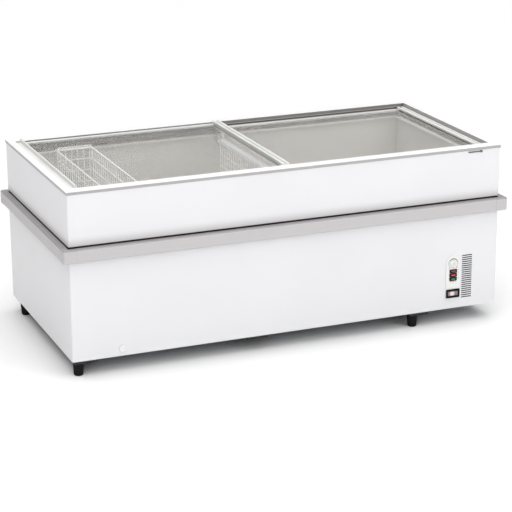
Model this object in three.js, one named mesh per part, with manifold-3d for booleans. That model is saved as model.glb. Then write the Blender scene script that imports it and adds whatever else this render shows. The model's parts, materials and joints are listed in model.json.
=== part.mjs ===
// Island chest freezer with two sliding glass lids, as an assembly of separate pieces.
// Millimetres, +Z up, +X along the length, -Y towards the customer's side.
// The origin is on the floor under the centre of the cabinet.
import * as THREE from 'three';
import { mergeVertices } from 'three/addons/utils/BufferGeometryUtils.js';
import Module from 'manifold-3d';

const wasm = await Module();
wasm.setup();

// ---- Driving dimensions ----------------------------------------------------------------
const fit = 0.3; // clearance between pieces that touch

// cabinet
const bodyLength = 2100;
const bodyDepth = 1010;
const bodyHeight = 775; // underside of the cabinet to the top of the rim
const sheet = 1.5; // steel casing
const cornerRadius = 8;
const wall = 76; // casing's face to the tank's face
const floorThickness = 72;
const linerSheet = 1.5;
const machineBayLength = 342;
const machineBayHeight = 280;
const stepFoam = 62; // insulation between the machine bay and the tank

// underside
const railHeight = 15;
const railWidth = 96;
const railSheet = 2.5;
const railInset = 10; // first rail's left edge from the cabinet's left face
const railOverhang = 354; // last rail's right edge to the cabinet's right face
const railEndInset = 6;
const footHeight = 58;
const footTopRadius = 25;
const footBaseRadius = 21;
const footInsetFront = 34; // foot's axis to the cabinet's front face
const footInsetRear = 102; // foot's axis to the cabinet's rear face
const footRounding = 7;
const studRadius = 5;
const studLength = 11;
const panPlate = 2;

// rim and tracks; levels are drops below the top of the rim
const rimEdge = 14;
const rimOverhang = 2;
const rimSideWidth = 32;
const trackLip = 56; // the top's inner edge
const upperLipStep = 2; // the upper track's lip beyond the top's inner edge
const lowerLipStep = 4;
const trackWeb = 46; // face at the back of the slots
const webThickness = 4;
const topLipDrop = 4;
const upperTrackDrop = 16;
const lowerTrackDrop = 36;
const lipThickness = 3;
const footLipThickness = 4;
const throatFace = 66;
const throatThickness = 4;
const throatRadius = 8;
const ledgeDrop = 60;
const ledgeHeight = 7;
const ledgeReach = 90;
const ledgeRadius = 3; // mitred corners, so goods and the basket reach into them

// lids
const lidOverlap = 16;
const lidEndGap = 2;
const runnerThickness = 8;
const runnerInner = 82;
const glassThickness = 4;
const glassGrip = 12;
const grooveLift = 2; // glass groove's floor above the runner's underside
const runnerPlay = 1;
const plateThickness = 3;
const handleWidth = 28;
const handleRib = 8;
const handleRise = 17;
const centreWidth = 36;
const centreRib = 13;
const centreRise = 12;
const lowRise = 6.4;
const sideFlange = 3;

// bumper
const bumperBottom = 463;
const bumperHeight = 59;
const bumperOverhang = 32;
const bumperWall = 3;
const bumperChamfer = 4;
const capReach = 28; // cap's cover along the cabinet from its corner
const capRadius = 14;
const capBevel = 3;
const jointGap = 8; // dark gap between the bumper and the upper casing

// front fittings, placed from the cabinet's left face and its underside
const drainX = 231;
const drainZ = 34;
const drainCapRadius = 17;
const drainCapDepth = 6;
const drainStem = 16;
const plugRadius = 19;
const plugStem = 14;
const pipeRadius = 13;
const pipeWall = 2;
const sumpInset = 62; // drain pipe's axis from the tank's front face
const panelInset = 232; // panel's middle to the cabinet's right face
const panelWidth = 74;
const panelBottom = 48;
const panelHeight = 214;
const panelThickness = 3;
const knobZ = 221;
const knobRadius = 17;
const knobHeight = 15;
const knobDisc = 7;
const knobShaft = 4;
const knobShaftLength = 12;
const knobGrip = 7;
const indicatorZ = 166;
const indicatorWidth = 38;
const indicatorPitch = 19.5;
const indicatorProud = 4;
const indicatorDepth = 18;
const lampSideWall = 5;
const lampEndWall = 3;
const lampPocket = 14;
const displayZ = 75;
const displayWidth = 70;
const displayHeight = 42;
const displayProud = 5;
const displayDepth = 20;
const displayWall = 5;
const windowWidth = 52;
const windowHeight = 22;
const cutoutMargin = 2; // panel flange over the edge of its cut-out
const grilleInset = 158;
const grilleWidth = 53;
const grilleBottom = 46;
const slotCount = 21;
const slotPitch = 10.3;
const slotHeight = 5.2;
const louvreWidth = 220;
const louvreInset = 36; // from the cabinet's right face
const louvreBottom = 36;
const louvreCount = 12;
const louvrePitch = 17;
const louvreHeight = 8;
const inletInset = 300;
const inletZ = 190;
const inletWidth = 48;
const inletHeight = 27;
const inletDepth = 20;
const inletFlange = 6;
const inletWall = 6;
const pinPitch = 7;
const leverInset = 101; // pivot to the cabinet's right face
const leverLength = 66;
const leverDrop = 21;
const leverThickness = 5;
const leverBossRadius = 5.5;

// tank fittings
const basketX = 218;
const basketWidth = 180;
const basketDepth = 300;
const wire = 5;
const basketLoopWidth = 176;
const basketLoopGap = 6; // loop's top below the lower lid
const basketSideGap = 5;
const dividerX = 1055; // from the cabinet's left face, as the basket
const dividerDrop = 81;
const dividerRail = 32;
const dividerRailHeight = 20;
const dividerGap = 4;
const pegRadius = 6;
const pegHeight = 21;
const pegOffset = 8.5;
const pegInset = 17;

// cooling circuit
const coilTurns = 4;
const coilSection = 8;
const coilRadius = 11;
const coilAboveStep = 58; // lowest turn's underside above the step
const coilBelowTop = 189; // highest turn's underside below the top of the rim
const coilClearance = 2;
const compressorRadius = 88;
const compressorHeight = 190;
const compressorInset = 250; // axis to the cabinet's rear face
const compressorShift = 10; // axis to the left of the bay's middle
const potBottom = 16;
const potShoulder = 40;
const seamProud = 4;
const seamHeight = 6;
const plinthMargin = 14;
const plinthThickness = 18;
const relayWidth = 60;
const relayOverlap = 20;
const relayProud = 34;
const relayLift = 60;
const fanRadius = 88;
const fanInset = 190; // fan's plane to the cabinet's front face
const fanLift = 30;
const fanShaftRadius = 3;
const fanShaftLength = 26;
const fanSetback = 82; // motor's rear end behind the fan's plane
const bladeCount = 5;
const bladeTipGap = 4;
const bladeRoot = 18;
const bladeWidth = 52;
const bladeThickness = 2.4;
const bladeTwist = 0.4;
const hubRadius = 22;
const hubLength = 24;
const hubFront = 14;
const motorRadius = 38;
const motorLength = 52;
const motorNose = 14;
const motorNoseLength = 6;
const postWidth = 44;
const postDepth = 32;
const postFront = 40; // motor post's front face behind the fan's plane
const postDrop = 20;
const drierRadius = 13;
const drierLength = 124;
const drierNeck = 4;
const drierNeckLength = 12;
const drierTaper = 10;
const drierInset = 45; // axis to the bay's left face
const drierBehindFan = 130;
const drierLift = 30;
const condenserLength = 250;
const condenserHeight = 210;
const condenserDepth = 62;
const condenserInset = 60;
const finMargin = 6;
const finCount = 12;

// ---- Derived places --------------------------------------------------------------------
const xLeft = -bodyLength / 2;
const xRight = bodyLength / 2;
const yFront = -bodyDepth / 2;
const yRear = bodyDepth / 2;
const zBase = railHeight + footHeight;
const zTop = zBase + bodyHeight;
const zFloor = zBase + floorThickness;
const bayLeft = xRight - sheet - machineBayLength;
const zBayTop = zBase + machineBayHeight;
const stepX = bayLeft - stepFoam;
const zStep = zBayTop + stepFoam;
const zBumper = zBase + bumperBottom;
const zBumperTop = zBumper + bumperHeight;
const zUpper = zBumperTop + jointGap;
const zLowerTop = zBumperTop - jointGap;
const zLinerTop = zTop - ledgeDrop - ledgeHeight - fit;
const railPitch = (bodyLength - railInset - railOverhang - railWidth) / 2;
const lowerLip = trackLip + lowerLipStep;
const panelX = xRight - panelInset;
const grilleX = xRight - grilleInset;
const inletX = xRight - inletInset;
const leverX = xRight - leverInset;
const yPlate = yFront - panelThickness - fit; // control plate's front face
const basketLoopRise = ledgeDrop - lowerTrackDrop - basketLoopGap;
const zCoilLow = zStep + coilAboveStep;
const zCoilHigh = zTop - coilBelowTop;
const coilPitch = (zCoilHigh - zCoilLow) / (coilTurns - 1);
const coilInset = wall - linerSheet - fit - coilSection - coilClearance;
const bayCentre = (bayLeft + xRight) / 2;
const zPan = zBase + panPlate + fit;
const fanY = yFront + fanInset;
const fanZ = zPan + fanRadius + fanLift;
const passing = 200; // a cutting tool runs this far past what it cuts

// Cut-out behind a fitting of the control panel, smaller than its flange all round.
function cutOut(z, width, height, margin) {
  return {
    x0: panelX - width / 2 + margin, x1: panelX + width / 2 - margin,
    z0: z - height / 2 + margin, z1: z + height / 2 - margin,
  };
}

const housingHeight = 3 * indicatorPitch + cutoutMargin;
const indicatorHole = cutOut(zBase + indicatorZ, indicatorWidth, housingHeight, cutoutMargin);
const displayHole = cutOut(zBase + displayZ, displayWidth, displayHeight, displayWall);

// ---- Solid helpers ---------------------------------------------------------------------
function toManifold(geometry) {
  const plain = geometry.clone();
  plain.deleteAttribute('normal');
  plain.deleteAttribute('uv');
  const merged = mergeVertices(plain, 1e-4);
  return new wasm.Manifold(new wasm.Mesh({
    numProp: 3,
    vertProperties: new Float32Array(merged.attributes.position.array),
    triVerts: new Uint32Array(merged.index.array),
  }));
}

function fromManifold(solid) {
  const mesh = solid.getMesh();
  const geometry = new THREE.BufferGeometry();
  geometry.setAttribute('position', new THREE.BufferAttribute(mesh.vertProperties, 3));
  geometry.setIndex(new THREE.BufferAttribute(mesh.triVerts, 1));
  return geometry;
}

function join(...geometries) {
  return fromManifold(geometries.map(toManifold).reduce((a, b) => a.add(b)));
}

function cut(geometry, ...tools) {
  return fromManifold(tools.map(toManifold).reduce((a, b) => a.subtract(b), toManifold(geometry)));
}

function block(x0, x1, y0, y1, z0, z1) {
  const geometry = new THREE.BoxGeometry(x1 - x0, y1 - y0, z1 - z0);
  geometry.translate((x0 + x1) / 2, (y0 + y1) / 2, (z0 + z1) / 2);
  return geometry;
}

function polygon(points) {
  return new THREE.Shape(points.map(([a, b]) => new THREE.Vector2(a, b)));
}

function roundedRectangle(x0, x1, y0, y1, radius) {
  const shape = new THREE.Shape();
  shape.moveTo(x0 + radius, y0);
  shape.lineTo(x1 - radius, y0);
  shape.absarc(x1 - radius, y0 + radius, radius, -Math.PI / 2, 0);
  shape.lineTo(x1, y1 - radius);
  shape.absarc(x1 - radius, y1 - radius, radius, 0, Math.PI / 2);
  shape.lineTo(x0 + radius, y1);
  shape.absarc(x0 + radius, y1 - radius, radius, Math.PI / 2, Math.PI);
  shape.lineTo(x0, y0 + radius);
  shape.absarc(x0 + radius, y0 + radius, radius, Math.PI, 1.5 * Math.PI);
  return shape;
}

// A shape drawn in X and Y, standing from z0 to z1.
function standing(shape, z0, z1, curveSegments = 4) {
  const geometry = new THREE.ExtrudeGeometry(shape, { depth: z1 - z0, bevelEnabled: false, curveSegments });
  geometry.translate(0, 0, z0);
  return geometry;
}

// A section drawn in Y and Z, running from x0 to x1.
function alongX(shape, x0, x1, curveSegments = 4) {
  const geometry = standing(shape, 0, x1 - x0, curveSegments);
  geometry.applyMatrix4(new THREE.Matrix4().set(0, 0, 1, x0, 1, 0, 0, 0, 0, 1, 0, 0, 0, 0, 0, 1));
  return geometry;
}

// A section drawn in X and Z, running from y0 to y1.
function alongY(shape, y0, y1, curveSegments = 4) {
  const geometry = standing(shape, 0, y1 - y0, curveSegments);
  geometry.rotateX(Math.PI / 2);
  geometry.translate(0, y1, 0);
  return geometry;
}

// A turned profile of [radius, height] points about a vertical axis.
function turned(points, sides) {
  return new THREE.LatheGeometry(points.map(([r, h]) => new THREE.Vector2(r, h)), sides).rotateX(Math.PI / 2);
}

function rod(radius, height, sides = 16) {
  return turned([[0, 0], [radius, 0], [radius, height], [0, height]], sides);
}

// Turns a piece made about +Z so that it points out of the front, towards -Y.
function facingFront(geometry, x, y, z) {
  geometry.rotateX(Math.PI / 2);
  geometry.translate(x, y, z);
  return geometry;
}

// ---- Scene helpers ---------------------------------------------------------------------
const freezer = new THREE.Group();

function addPiece(parent, name, geometry, color, roughness, metalness) {
  const mesh = new THREE.Mesh(geometry, new THREE.MeshStandardMaterial({ color, roughness, metalness }));
  mesh.name = name;
  parent.add(mesh);
  return mesh;
}

const paint = {
  whiteSteel: [0xf4f4f5, 0.35, 0.1],
  galvanised: [0xa9adb0, 0.5, 0.8],
  foam: [0xd9c58c, 0.9, 0],
  liner: [0xb3ada6, 0.4, 0.5],
  whitePlastic: [0xf2f2f0, 0.4, 0],
  throat: [0x6f645b, 0.6, 0],
  greyPlastic: [0xbcb9b8, 0.5, 0],
  black: [0x141414, 0.6, 0],
  glass: [0xdfe8e6, 0.05, 0],
  copper: [0xb87346, 0.3, 1],
  aluminium: [0xc4c6c8, 0.35, 1],
  redLens: [0xc4141c, 0.2, 0],
  greenLens: [0x1f7a34, 0.2, 0],
  darkLens: [0x7a1218, 0.25, 0],
  whiteWire: [0xf0efec, 0.45, 0.1],
};

// ---- Casing ----------------------------------------------------------------------------
function upperShell() {
  const outline = roundedRectangle(xLeft, xRight, yFront, yRear, cornerRadius);
  outline.holes.push(roundedRectangle(
    xLeft + sheet, xRight - sheet, yFront + sheet, yRear - sheet, cornerRadius - sheet));
  return standing(outline, zUpper, zTop - rimEdge - fit);
}

// Front and rear panels turn in at their ends with the casing's corner radius.
function longPanel(side) {
  const outer = roundedRectangle(xLeft, xRight, -cornerRadius * 3, 0, cornerRadius);
  outer.holes.push(roundedRectangle(
    xLeft + sheet, xRight - sheet, -cornerRadius * 3 + sheet, -sheet, cornerRadius - sheet));
  const ring = standing(outer, zBase, zLowerTop);
  const tool = block(xLeft - 1, xRight + 1, -cornerRadius * 4, -cornerRadius, zBase - 1, zLowerTop + 1);
  const panel = cut(ring, tool);
  if (side < 0) panel.rotateZ(Math.PI);
  panel.translate(0, side * bodyDepth / 2, 0);
  return panel;
}

function slotTools(x0, x1, y0, y1, z0, count, pitch, height) {
  return Array.from({ length: count }, (_, i) => {
    const z = z0 + i * pitch;
    return block(x0, x1, y0, y1, z, z + height);
  });
}

function holeTool(hole) {
  return block(hole.x0, hole.x1, yPlate - 5, yFront + 5, hole.z0, hole.z1);
}

function knobHole() {
  return facingFront(rod(knobShaft + fit, 20), panelX, yFront + 10, zBase + knobZ);
}

function lowerFrontPanel() {
  const drain = facingFront(rod(pipeRadius + fit, 20), xLeft + drainX, yFront + 10, zBase + drainZ);
  const x0 = grilleX - grilleWidth / 2;
  const slots = slotTools(
    x0, x0 + grilleWidth, yFront - 1, yFront + 5, zBase + grilleBottom, slotCount, slotPitch, slotHeight);
  return cut(longPanel(-1), drain, knobHole(), holeTool(indicatorHole), holeTool(displayHole), ...slots);
}

function lowerRearPanel() {
  const louvres = slotTools(
    xRight - louvreInset - louvreWidth, xRight - louvreInset, yRear - 5, yRear + 1,
    zBase + louvreBottom, louvreCount, louvrePitch, louvreHeight);
  const inlet = block(
    inletX - inletWidth / 2 - fit, inletX + inletWidth / 2 + fit, yRear - 5, yRear + 1,
    zBase + inletZ - inletHeight / 2 - fit, zBase + inletZ + inletHeight / 2 + fit);
  return cut(longPanel(1), ...louvres, inlet);
}

function endPanel(side) {
  const face = side * bodyLength / 2;
  const y = bodyDepth / 2 - cornerRadius - fit;
  return block(
    Math.min(face, face - side * sheet), Math.max(face, face - side * sheet), -y, y, zBase, zLowerTop);
}

function basePan() {
  const edge = sheet + fit;
  const pan = block(xLeft + edge, xRight - edge, yFront + edge, yRear - edge, zBase, zBase + panPlate);
  const corner = cornerRadius;
  const tools = [];
  for (const sx of [-1, 1]) {
    for (const sy of [-1, 1]) {
      const x = sx * bodyLength / 2;
      const y = sy * bodyDepth / 2;
      tools.push(block(
        Math.min(x, x - sx * corner), Math.max(x, x - sx * corner),
        Math.min(y, y - sy * corner), Math.max(y, y - sy * corner), zBase - 1, zBase + panPlate + 1));
    }
  }
  return cut(pan, ...tools);
}

// ---- Tank and insulation ---------------------------------------------------------------
// The tank's outline in X and Z, with the step over the machine bay, grown by a margin.
function tankOutline(margin, zOpen) {
  return polygon([
    [xLeft + wall - margin, zFloor - margin],
    [stepX + margin, zFloor - margin],
    [stepX + margin, zStep - margin],
    [xRight - wall + margin, zStep - margin],
    [xRight - wall + margin, zOpen],
    [xLeft + wall - margin, zOpen],
  ]);
}

function tankSolid(margin, zOpen) {
  return alongY(tankOutline(margin, zOpen), yFront + wall - margin, yRear - wall + margin);
}

function ringTool(inset, z0, z1) {
  return block(xLeft + inset, xRight - inset, yFront + inset, yRear - inset, z0, z1);
}

function drainHole(radius) {
  const sump = rod(radius, floorThickness - drainZ + 5);
  sump.translate(xLeft + drainX, yFront + wall + sumpInset, zBase + drainZ);
  return sump;
}

function tankLiner() {
  return cut(tankSolid(linerSheet, zLinerTop), tankSolid(0, zLinerTop + 1), drainHole(pipeRadius + fit));
}

function foamInsulation() {
  const edge = sheet + fit;
  const outline = roundedRectangle(
    xLeft + edge, xRight - edge, yFront + edge, yRear - edge, cornerRadius - sheet);
  const body = standing(outline, zBase + panPlate + fit, zTop - rimEdge - fit);
  const bay = block(bayLeft, xRight, yFront, yRear, zBase, zBayTop);
  const pipe = facingFront(rod(pipeRadius + fit, wall + sumpInset), xLeft + drainX,
    yFront + wall + sumpInset, zBase + drainZ);
  const coilBand = ringTool(
    coilInset - coilClearance, zCoilLow - coilClearance, zCoilHigh + coilSection + coilClearance);
  const groove = cut(
    ringTool(-1, zLowerTop + fit, zUpper - fit), ringTool(edge + 5, zLowerTop, zUpper));
  const fittings = block(
    displayHole.x0 - 1, displayHole.x1 + 1, yFront, yFront + displayDepth + 5,
    displayHole.z0 - 1, zBase + knobZ + knobShaft + 5);
  return cut(
    body,
    bay,
    tankSolid(linerSheet + fit, zTop),
    drainHole(pipeRadius + fit),
    pipe,
    coilBand,
    groove,
    fittings,
    ringTool(throatFace - throatThickness - fit, zLinerTop - fit, zTop),
    ringTool(rimSideWidth - webThickness - fit, zTop - lowerTrackDrop - footLipThickness - fit, zTop));
}

function evaporatorCoil() {
  const turn = (inset, z) => {
    const outline = roundedRectangle(xLeft + inset, xRight - inset, yFront + inset, yRear - inset, coilRadius);
    const inner = inset + coilSection;
    outline.holes.push(roundedRectangle(
      xLeft + inner, xRight - inner, yFront + inner, yRear - inner, coilRadius - coilSection));
    return standing(outline, z, z + coilSection, 2);
  };
  const pieces = [];
  for (let i = 0; i < coilTurns; i += 1) {
    const z = zCoilLow + i * coilPitch;
    pieces.push(turn(coilInset, z));
    if (i > 0) {
      const x = xRight - wall - 100 - (i % 2) * 60;
      pieces.push(block(x, x + coilSection, yRear - coilInset - coilSection, yRear - coilInset,
        z - coilPitch + 1, z + coilSection - 1));
    }
  }
  return join(...pieces);
}

function throatRing() {
  const outline = roundedRectangle(
    xLeft + throatFace - throatThickness, xRight - throatFace + throatThickness,
    yFront + throatFace - throatThickness, yRear - throatFace + throatThickness, throatRadius);
  outline.holes.push(roundedRectangle(
    xLeft + throatFace, xRight - throatFace, yFront + throatFace, yRear - throatFace,
    throatRadius - throatThickness));
  return standing(outline, zTop - ledgeDrop + fit, zTop - lowerTrackDrop - footLipThickness - fit);
}

function ledgeTrim() {
  const inset = throatFace - throatThickness;
  const outline = polygon([[xLeft + inset, yFront + inset], [xRight - inset, yFront + inset],
    [xRight - inset, yRear - inset], [xLeft + inset, yRear - inset]]);
  outline.holes.push(roundedRectangle(
    xLeft + ledgeReach, xRight - ledgeReach, yFront + ledgeReach, yRear - ledgeReach, ledgeRadius));
  return standing(outline, zTop - ledgeDrop - ledgeHeight, zTop - ledgeDrop);
}

// ---- Rim and tracks --------------------------------------------------------------------
// The long profiles hold two slots one above the other, for the upper and the lower lid.
function longRim(side) {
  const inward = -side;
  const face = side * bodyDepth / 2;
  const upperLip = trackLip + upperLipStep;
  const section = [
    [-rimOverhang, 0], [trackLip, 0], [trackLip, topLipDrop], [trackWeb, topLipDrop],
    [trackWeb, upperTrackDrop], [upperLip, upperTrackDrop],
    [upperLip, upperTrackDrop + lipThickness], [trackWeb, upperTrackDrop + lipThickness],
    [trackWeb, lowerTrackDrop], [lowerLip, lowerTrackDrop],
    [lowerLip, lowerTrackDrop + footLipThickness],
    [trackWeb - webThickness, lowerTrackDrop + footLipThickness], [trackWeb - webThickness, rimEdge],
    [-rimOverhang, rimEdge],
  ].map(([inset, drop]) => [face + inward * inset, zTop - drop]);
  const reach = bodyLength / 2 - rimSideWidth - fit;
  return alongX(polygon(section), -reach, reach);
}

function sideRim(side) {
  const inward = -side;
  const face = side * bodyLength / 2;
  const section = [
    [-rimOverhang, 0], [rimSideWidth, 0], [rimSideWidth, lowerTrackDrop],
    [lowerLip, lowerTrackDrop], [lowerLip, lowerTrackDrop + footLipThickness],
    [rimSideWidth - webThickness, lowerTrackDrop + footLipThickness],
    [rimSideWidth - webThickness, rimEdge], [-rimOverhang, rimEdge],
  ].map(([inset, drop]) => [face + inward * inset, zTop - drop]);
  const full = bodyDepth / 2 + rimOverhang;
  const lipEnd = bodyDepth / 2 - lowerLip - fit;
  const webEnd = bodyDepth / 2 - trackWeb + webThickness - fit;
  const profile = alongY(polygon(section), -full, full);
  const inner = face + inward * rimSideWidth;
  const far = face + inward * passing;
  const clear = (y0, y1) => block(Math.min(inner, far), Math.max(inner, far), y0, y1, zTop - passing, zTop - 1);
  const shoulder = (y0, y1) => block(
    Math.min(face + side, far), Math.max(face + side, far), y0, y1, zTop - passing, zTop - rimEdge);
  return cut(profile, clear(-full - 1, -lipEnd), clear(lipEnd, full + 1),
    shoulder(-full - 1, -webEnd), shoulder(webEnd, full + 1));
}

// ---- Lids ------------------------------------------------------------------------------
const lidLength = (bodyLength - 2 * (rimSideWidth + lidEndGap) + lidOverlap) / 2;
const runnerOuter = trackWeb + runnerPlay;

// One runner: a strip along X with a groove in its inner edge that grips the glass.
function lidRunner(side, x0, trackDrop) {
  const inward = -side;
  const face = side * bodyDepth / 2;
  const bottom = trackDrop - fit;
  const top = bottom - runnerThickness;
  const grooveBottom = bottom - grooveLift;
  const grooveTop = grooveBottom - glassThickness - fit;
  const grooveBack = runnerInner - glassGrip - fit;
  const section = [
    [runnerOuter, top], [runnerInner, top], [runnerInner, grooveTop], [grooveBack, grooveTop],
    [grooveBack, grooveBottom], [runnerInner, grooveBottom], [runnerInner, bottom], [runnerOuter, bottom],
  ].map(([inset, drop]) => [face + inward * inset, zTop - drop]);
  return alongX(polygon(section), x0, x0 + lidLength);
}

function lidGlass(x0, trackDrop) {
  const z = zTop - trackDrop + fit + grooveLift + fit / 2;
  const y = bodyDepth / 2 - runnerInner + glassGrip;
  return block(x0 + sideFlange + fit, x0 + lidLength - sideFlange - fit, -y, y, z, z + glassThickness);
}

// An end profile: a plate over the runners and glass that stops clear of the track lips, ribs on
// top, and a side flange below that closes the lid's end between the runners. Ribs are
// [start, width, rise] from the end.
function lidEnd(end, inward, width, trackDrop, ribs) {
  const zPlate = zTop - trackDrop + fit + runnerThickness + fit;
  const yLong = bodyDepth / 2 - lowerLip;
  const yShort = bodyDepth / 2 - runnerInner - fit;
  const span = (a, b) => [end + inward * a, end + inward * b].sort((p, q) => p - q);
  const pieces = [block(...span(0, width), -yLong, yLong, zPlate, zPlate + plateThickness)];
  for (const [start, ribWidth, rise] of ribs) {
    pieces.push(block(...span(start, start + ribWidth), -yLong, yLong, zPlate, zPlate + plateThickness + rise));
  }
  pieces.push(block(...span(0, sideFlange), -yShort, yShort, zTop - trackDrop + fit, zPlate + 1));
  return join(...pieces);
}

function addLid(name, x0, trackDrop, leftEnd, rightEnd) {
  const lid = new THREE.Group();
  const x1 = x0 + lidLength;
  addPiece(lid, `${name}_glass`, lidGlass(x0, trackDrop), ...paint.glass);
  addPiece(lid, `${name}_runner_front`, lidRunner(-1, x0, trackDrop), ...paint.whitePlastic);
  addPiece(lid, `${name}_runner_rear`, lidRunner(1, x0, trackDrop), ...paint.whitePlastic);
  addPiece(lid, `${name}_${leftEnd.name}`, lidEnd(x0, 1, leftEnd.width, trackDrop, leftEnd.ribs),
    ...paint.whitePlastic);
  addPiece(lid, `${name}_${rightEnd.name}`, lidEnd(x1, -1, rightEnd.width, trackDrop, rightEnd.ribs),
    ...paint.whitePlastic);
  freezer.add(lid);
}

// ---- Underside -------------------------------------------------------------------------
const railLefts = [0, 1, 2].map((i) => xLeft + railInset + i * railPitch);

function footAxis(rail, side) {
  const inset = side < 0 ? footInsetFront : footInsetRear;
  return [railLefts[rail] + footTopRadius, side * (bodyDepth / 2 - inset)];
}

// A pressed steel tray, open upwards against the base pan.
function crossRail(rail) {
  const x0 = railLefts[rail];
  const y = bodyDepth / 2 - railEndInset;
  const z0 = footHeight;
  const z1 = zBase - fit;
  const tray = block(x0, x0 + railWidth, -y, y, z0, z1);
  const hollow = block(x0 + railSheet, x0 + railWidth - railSheet, -y + railSheet, y - railSheet,
    z0 + railSheet, z1 + 1);
  const holes = rail === 1 ? [] : [-1, 1].map((side) => {
    const hole = rod(studRadius + fit, railSheet + 2, 12);
    hole.translate(...footAxis(rail, side), z0 - 1);
    return hole;
  });
  return cut(tray, hollow, ...holes);
}

function levellingFoot(rail, side) {
  const top = footHeight - fit;
  const corner = footRounding * (1 - Math.SQRT1_2);
  const foot = turned([
    [0, 0], [footBaseRadius - footRounding, 0], [footBaseRadius - corner, corner],
    [footBaseRadius, footRounding], [footTopRadius, top - footRounding], [footTopRadius, top],
    [studRadius, top], [studRadius, top + studLength], [0, top + studLength],
  ], 18);
  foot.translate(...footAxis(rail, side), 0);
  return foot;
}

// ---- Bumper ----------------------------------------------------------------------------
function bumperSection() {
  const o = bumperOverhang;
  const h = bumperHeight;
  const t = bumperWall;
  const c = bumperChamfer;
  const inner = c + t - 2;
  return [
    [0, 0], [o - c, 0], [o, c], [o, h - c], [o - c, h], [0, h],
    [0, h - t], [o - inner, h - t], [o - t, h - inner], [o - t, inner], [o - inner, t], [0, t],
  ];
}

function longBumper(side) {
  const face = side * (bodyDepth / 2 + fit);
  const section = bumperSection().map(([out, z]) => [face + side * out, zBumper + z]);
  const reach = bodyLength / 2 - capReach - fit;
  return alongX(polygon(section), -reach, reach);
}

function sideBumper(side) {
  const face = side * (bodyLength / 2 + fit);
  const section = bumperSection().map(([out, z]) => [face + side * out, zBumper + z]);
  const reach = bodyDepth / 2 - capReach - fit;
  return alongY(polygon(section), -reach, reach);
}

// A corner cap is an L in plan, wrapped round the cabinet's corner, drawn for +X +Y.
function bumperCap(sx, sy) {
  const out = bumperOverhang + fit;
  const shape = new THREE.Shape();
  shape.moveTo(-capReach, fit);
  shape.lineTo(fit, fit);
  shape.lineTo(fit, -capReach);
  shape.lineTo(out, -capReach);
  shape.lineTo(out, out - capRadius);
  shape.absarc(out - capRadius, out - capRadius, capRadius, 0, Math.PI / 2);
  shape.lineTo(-capReach, out);
  const geometry = new THREE.ExtrudeGeometry(shape, {
    depth: bumperHeight - 2 * capBevel,
    bevelThickness: capBevel,
    bevelSize: capBevel,
    bevelOffset: -capBevel,
    bevelSegments: 2,
    curveSegments: 5,
  });
  const angle = { '1,1': 0, '-1,1': Math.PI / 2, '-1,-1': Math.PI, '1,-1': -Math.PI / 2 }[`${sx},${sy}`];
  geometry.rotateZ(angle);
  geometry.translate(sx * bodyLength / 2, sy * bodyDepth / 2, zBumper + capBevel);
  return geometry;
}

// ---- Drain -----------------------------------------------------------------------------
function drainPipe() {
  const x = xLeft + drainX;
  const y = yFront + wall + sumpInset;
  const z = zBase + drainZ;
  const tube = (radius, extra) => {
    const down = rod(radius, floorThickness - drainZ - linerSheet - fit + extra);
    down.translate(x, y, z);
    const run = facingFront(rod(radius, y - yFront - 2 + extra), x, y, z);
    return join(down, run);
  };
  return cut(tube(pipeRadius, 0), tube(pipeRadius - pipeWall, 2));
}

function drainCap() {
  const stem = pipeRadius - pipeWall - fit;
  const face = drainStem + drainCapDepth;
  const cap = turned([
    [0, 0], [stem, 0], [stem, drainStem], [drainCapRadius, drainStem], [drainCapRadius, face - 3],
    [drainCapRadius - 2, face], [6, face], [5, face - 1.5], [0, face - 1.5],
  ], 20);
  return facingFront(cap, xLeft + drainX, yFront + drainStem - fit, zBase + drainZ);
}

function tankPlug() {
  const stem = pipeRadius - pipeWall - fit;
  const plug = turned([
    [0, 0], [stem, 0], [stem, plugStem], [plugRadius, plugStem], [plugRadius, plugStem + 2],
    [plugRadius - 2, plugStem + 4], [7, plugStem + 4], [7, plugStem + 11], [5, plugStem + 13],
    [0, plugStem + 13],
  ], 16);
  plug.translate(xLeft + drainX, yFront + wall + sumpInset, zFloor - plugStem + fit);
  return plug;
}

// ---- Control panel ---------------------------------------------------------------------
function controlPlate() {
  const half = panelWidth / 2;
  const shape = new THREE.Shape();
  const z0 = zBase + panelBottom;
  const zArch = z0 + panelHeight - half;
  shape.moveTo(panelX - half, z0);
  shape.lineTo(panelX + half, z0);
  shape.lineTo(panelX + half, zArch);
  shape.absarc(panelX, zArch, half, 0, Math.PI);
  const plate = alongY(shape, yPlate, yFront - fit, 10);
  return cut(plate, knobHole(), holeTool(indicatorHole), holeTool(displayHole));
}

function thermostatKnob() {
  const disc = turned([
    [0, -knobShaftLength], [knobShaft, -knobShaftLength], [knobShaft, 0], [knobRadius, 0],
    [knobRadius, knobDisc - 2], [knobRadius - 2, knobDisc], [0, knobDisc],
  ], 24);
  const reach = knobRadius - 1.5;
  const grip = block(-knobGrip / 2, knobGrip / 2, -reach, reach, knobDisc - 1, knobHeight);
  return facingFront(join(disc, grip), panelX, yPlate - fit, zBase + knobZ);
}

// Middle of a lamp or rocker: 0 is the lowest of the three.
function indicatorMiddle(index) {
  return zBase + indicatorZ + (index - 1) * indicatorPitch;
}

// Half width and half height of a pocket in the housing, less a margin.
function pocketHalves(margin) {
  return [indicatorWidth / 2 - lampSideWall - margin, indicatorPitch / 2 - lampEndWall - margin];
}

function pocket(index) {
  const z = indicatorMiddle(index);
  const [w, h] = pocketHalves(0);
  const y = yPlate - indicatorProud - 1;
  return block(panelX - w, panelX + w, y, y + 1 + lampPocket, z - h, z + h);
}

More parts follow.
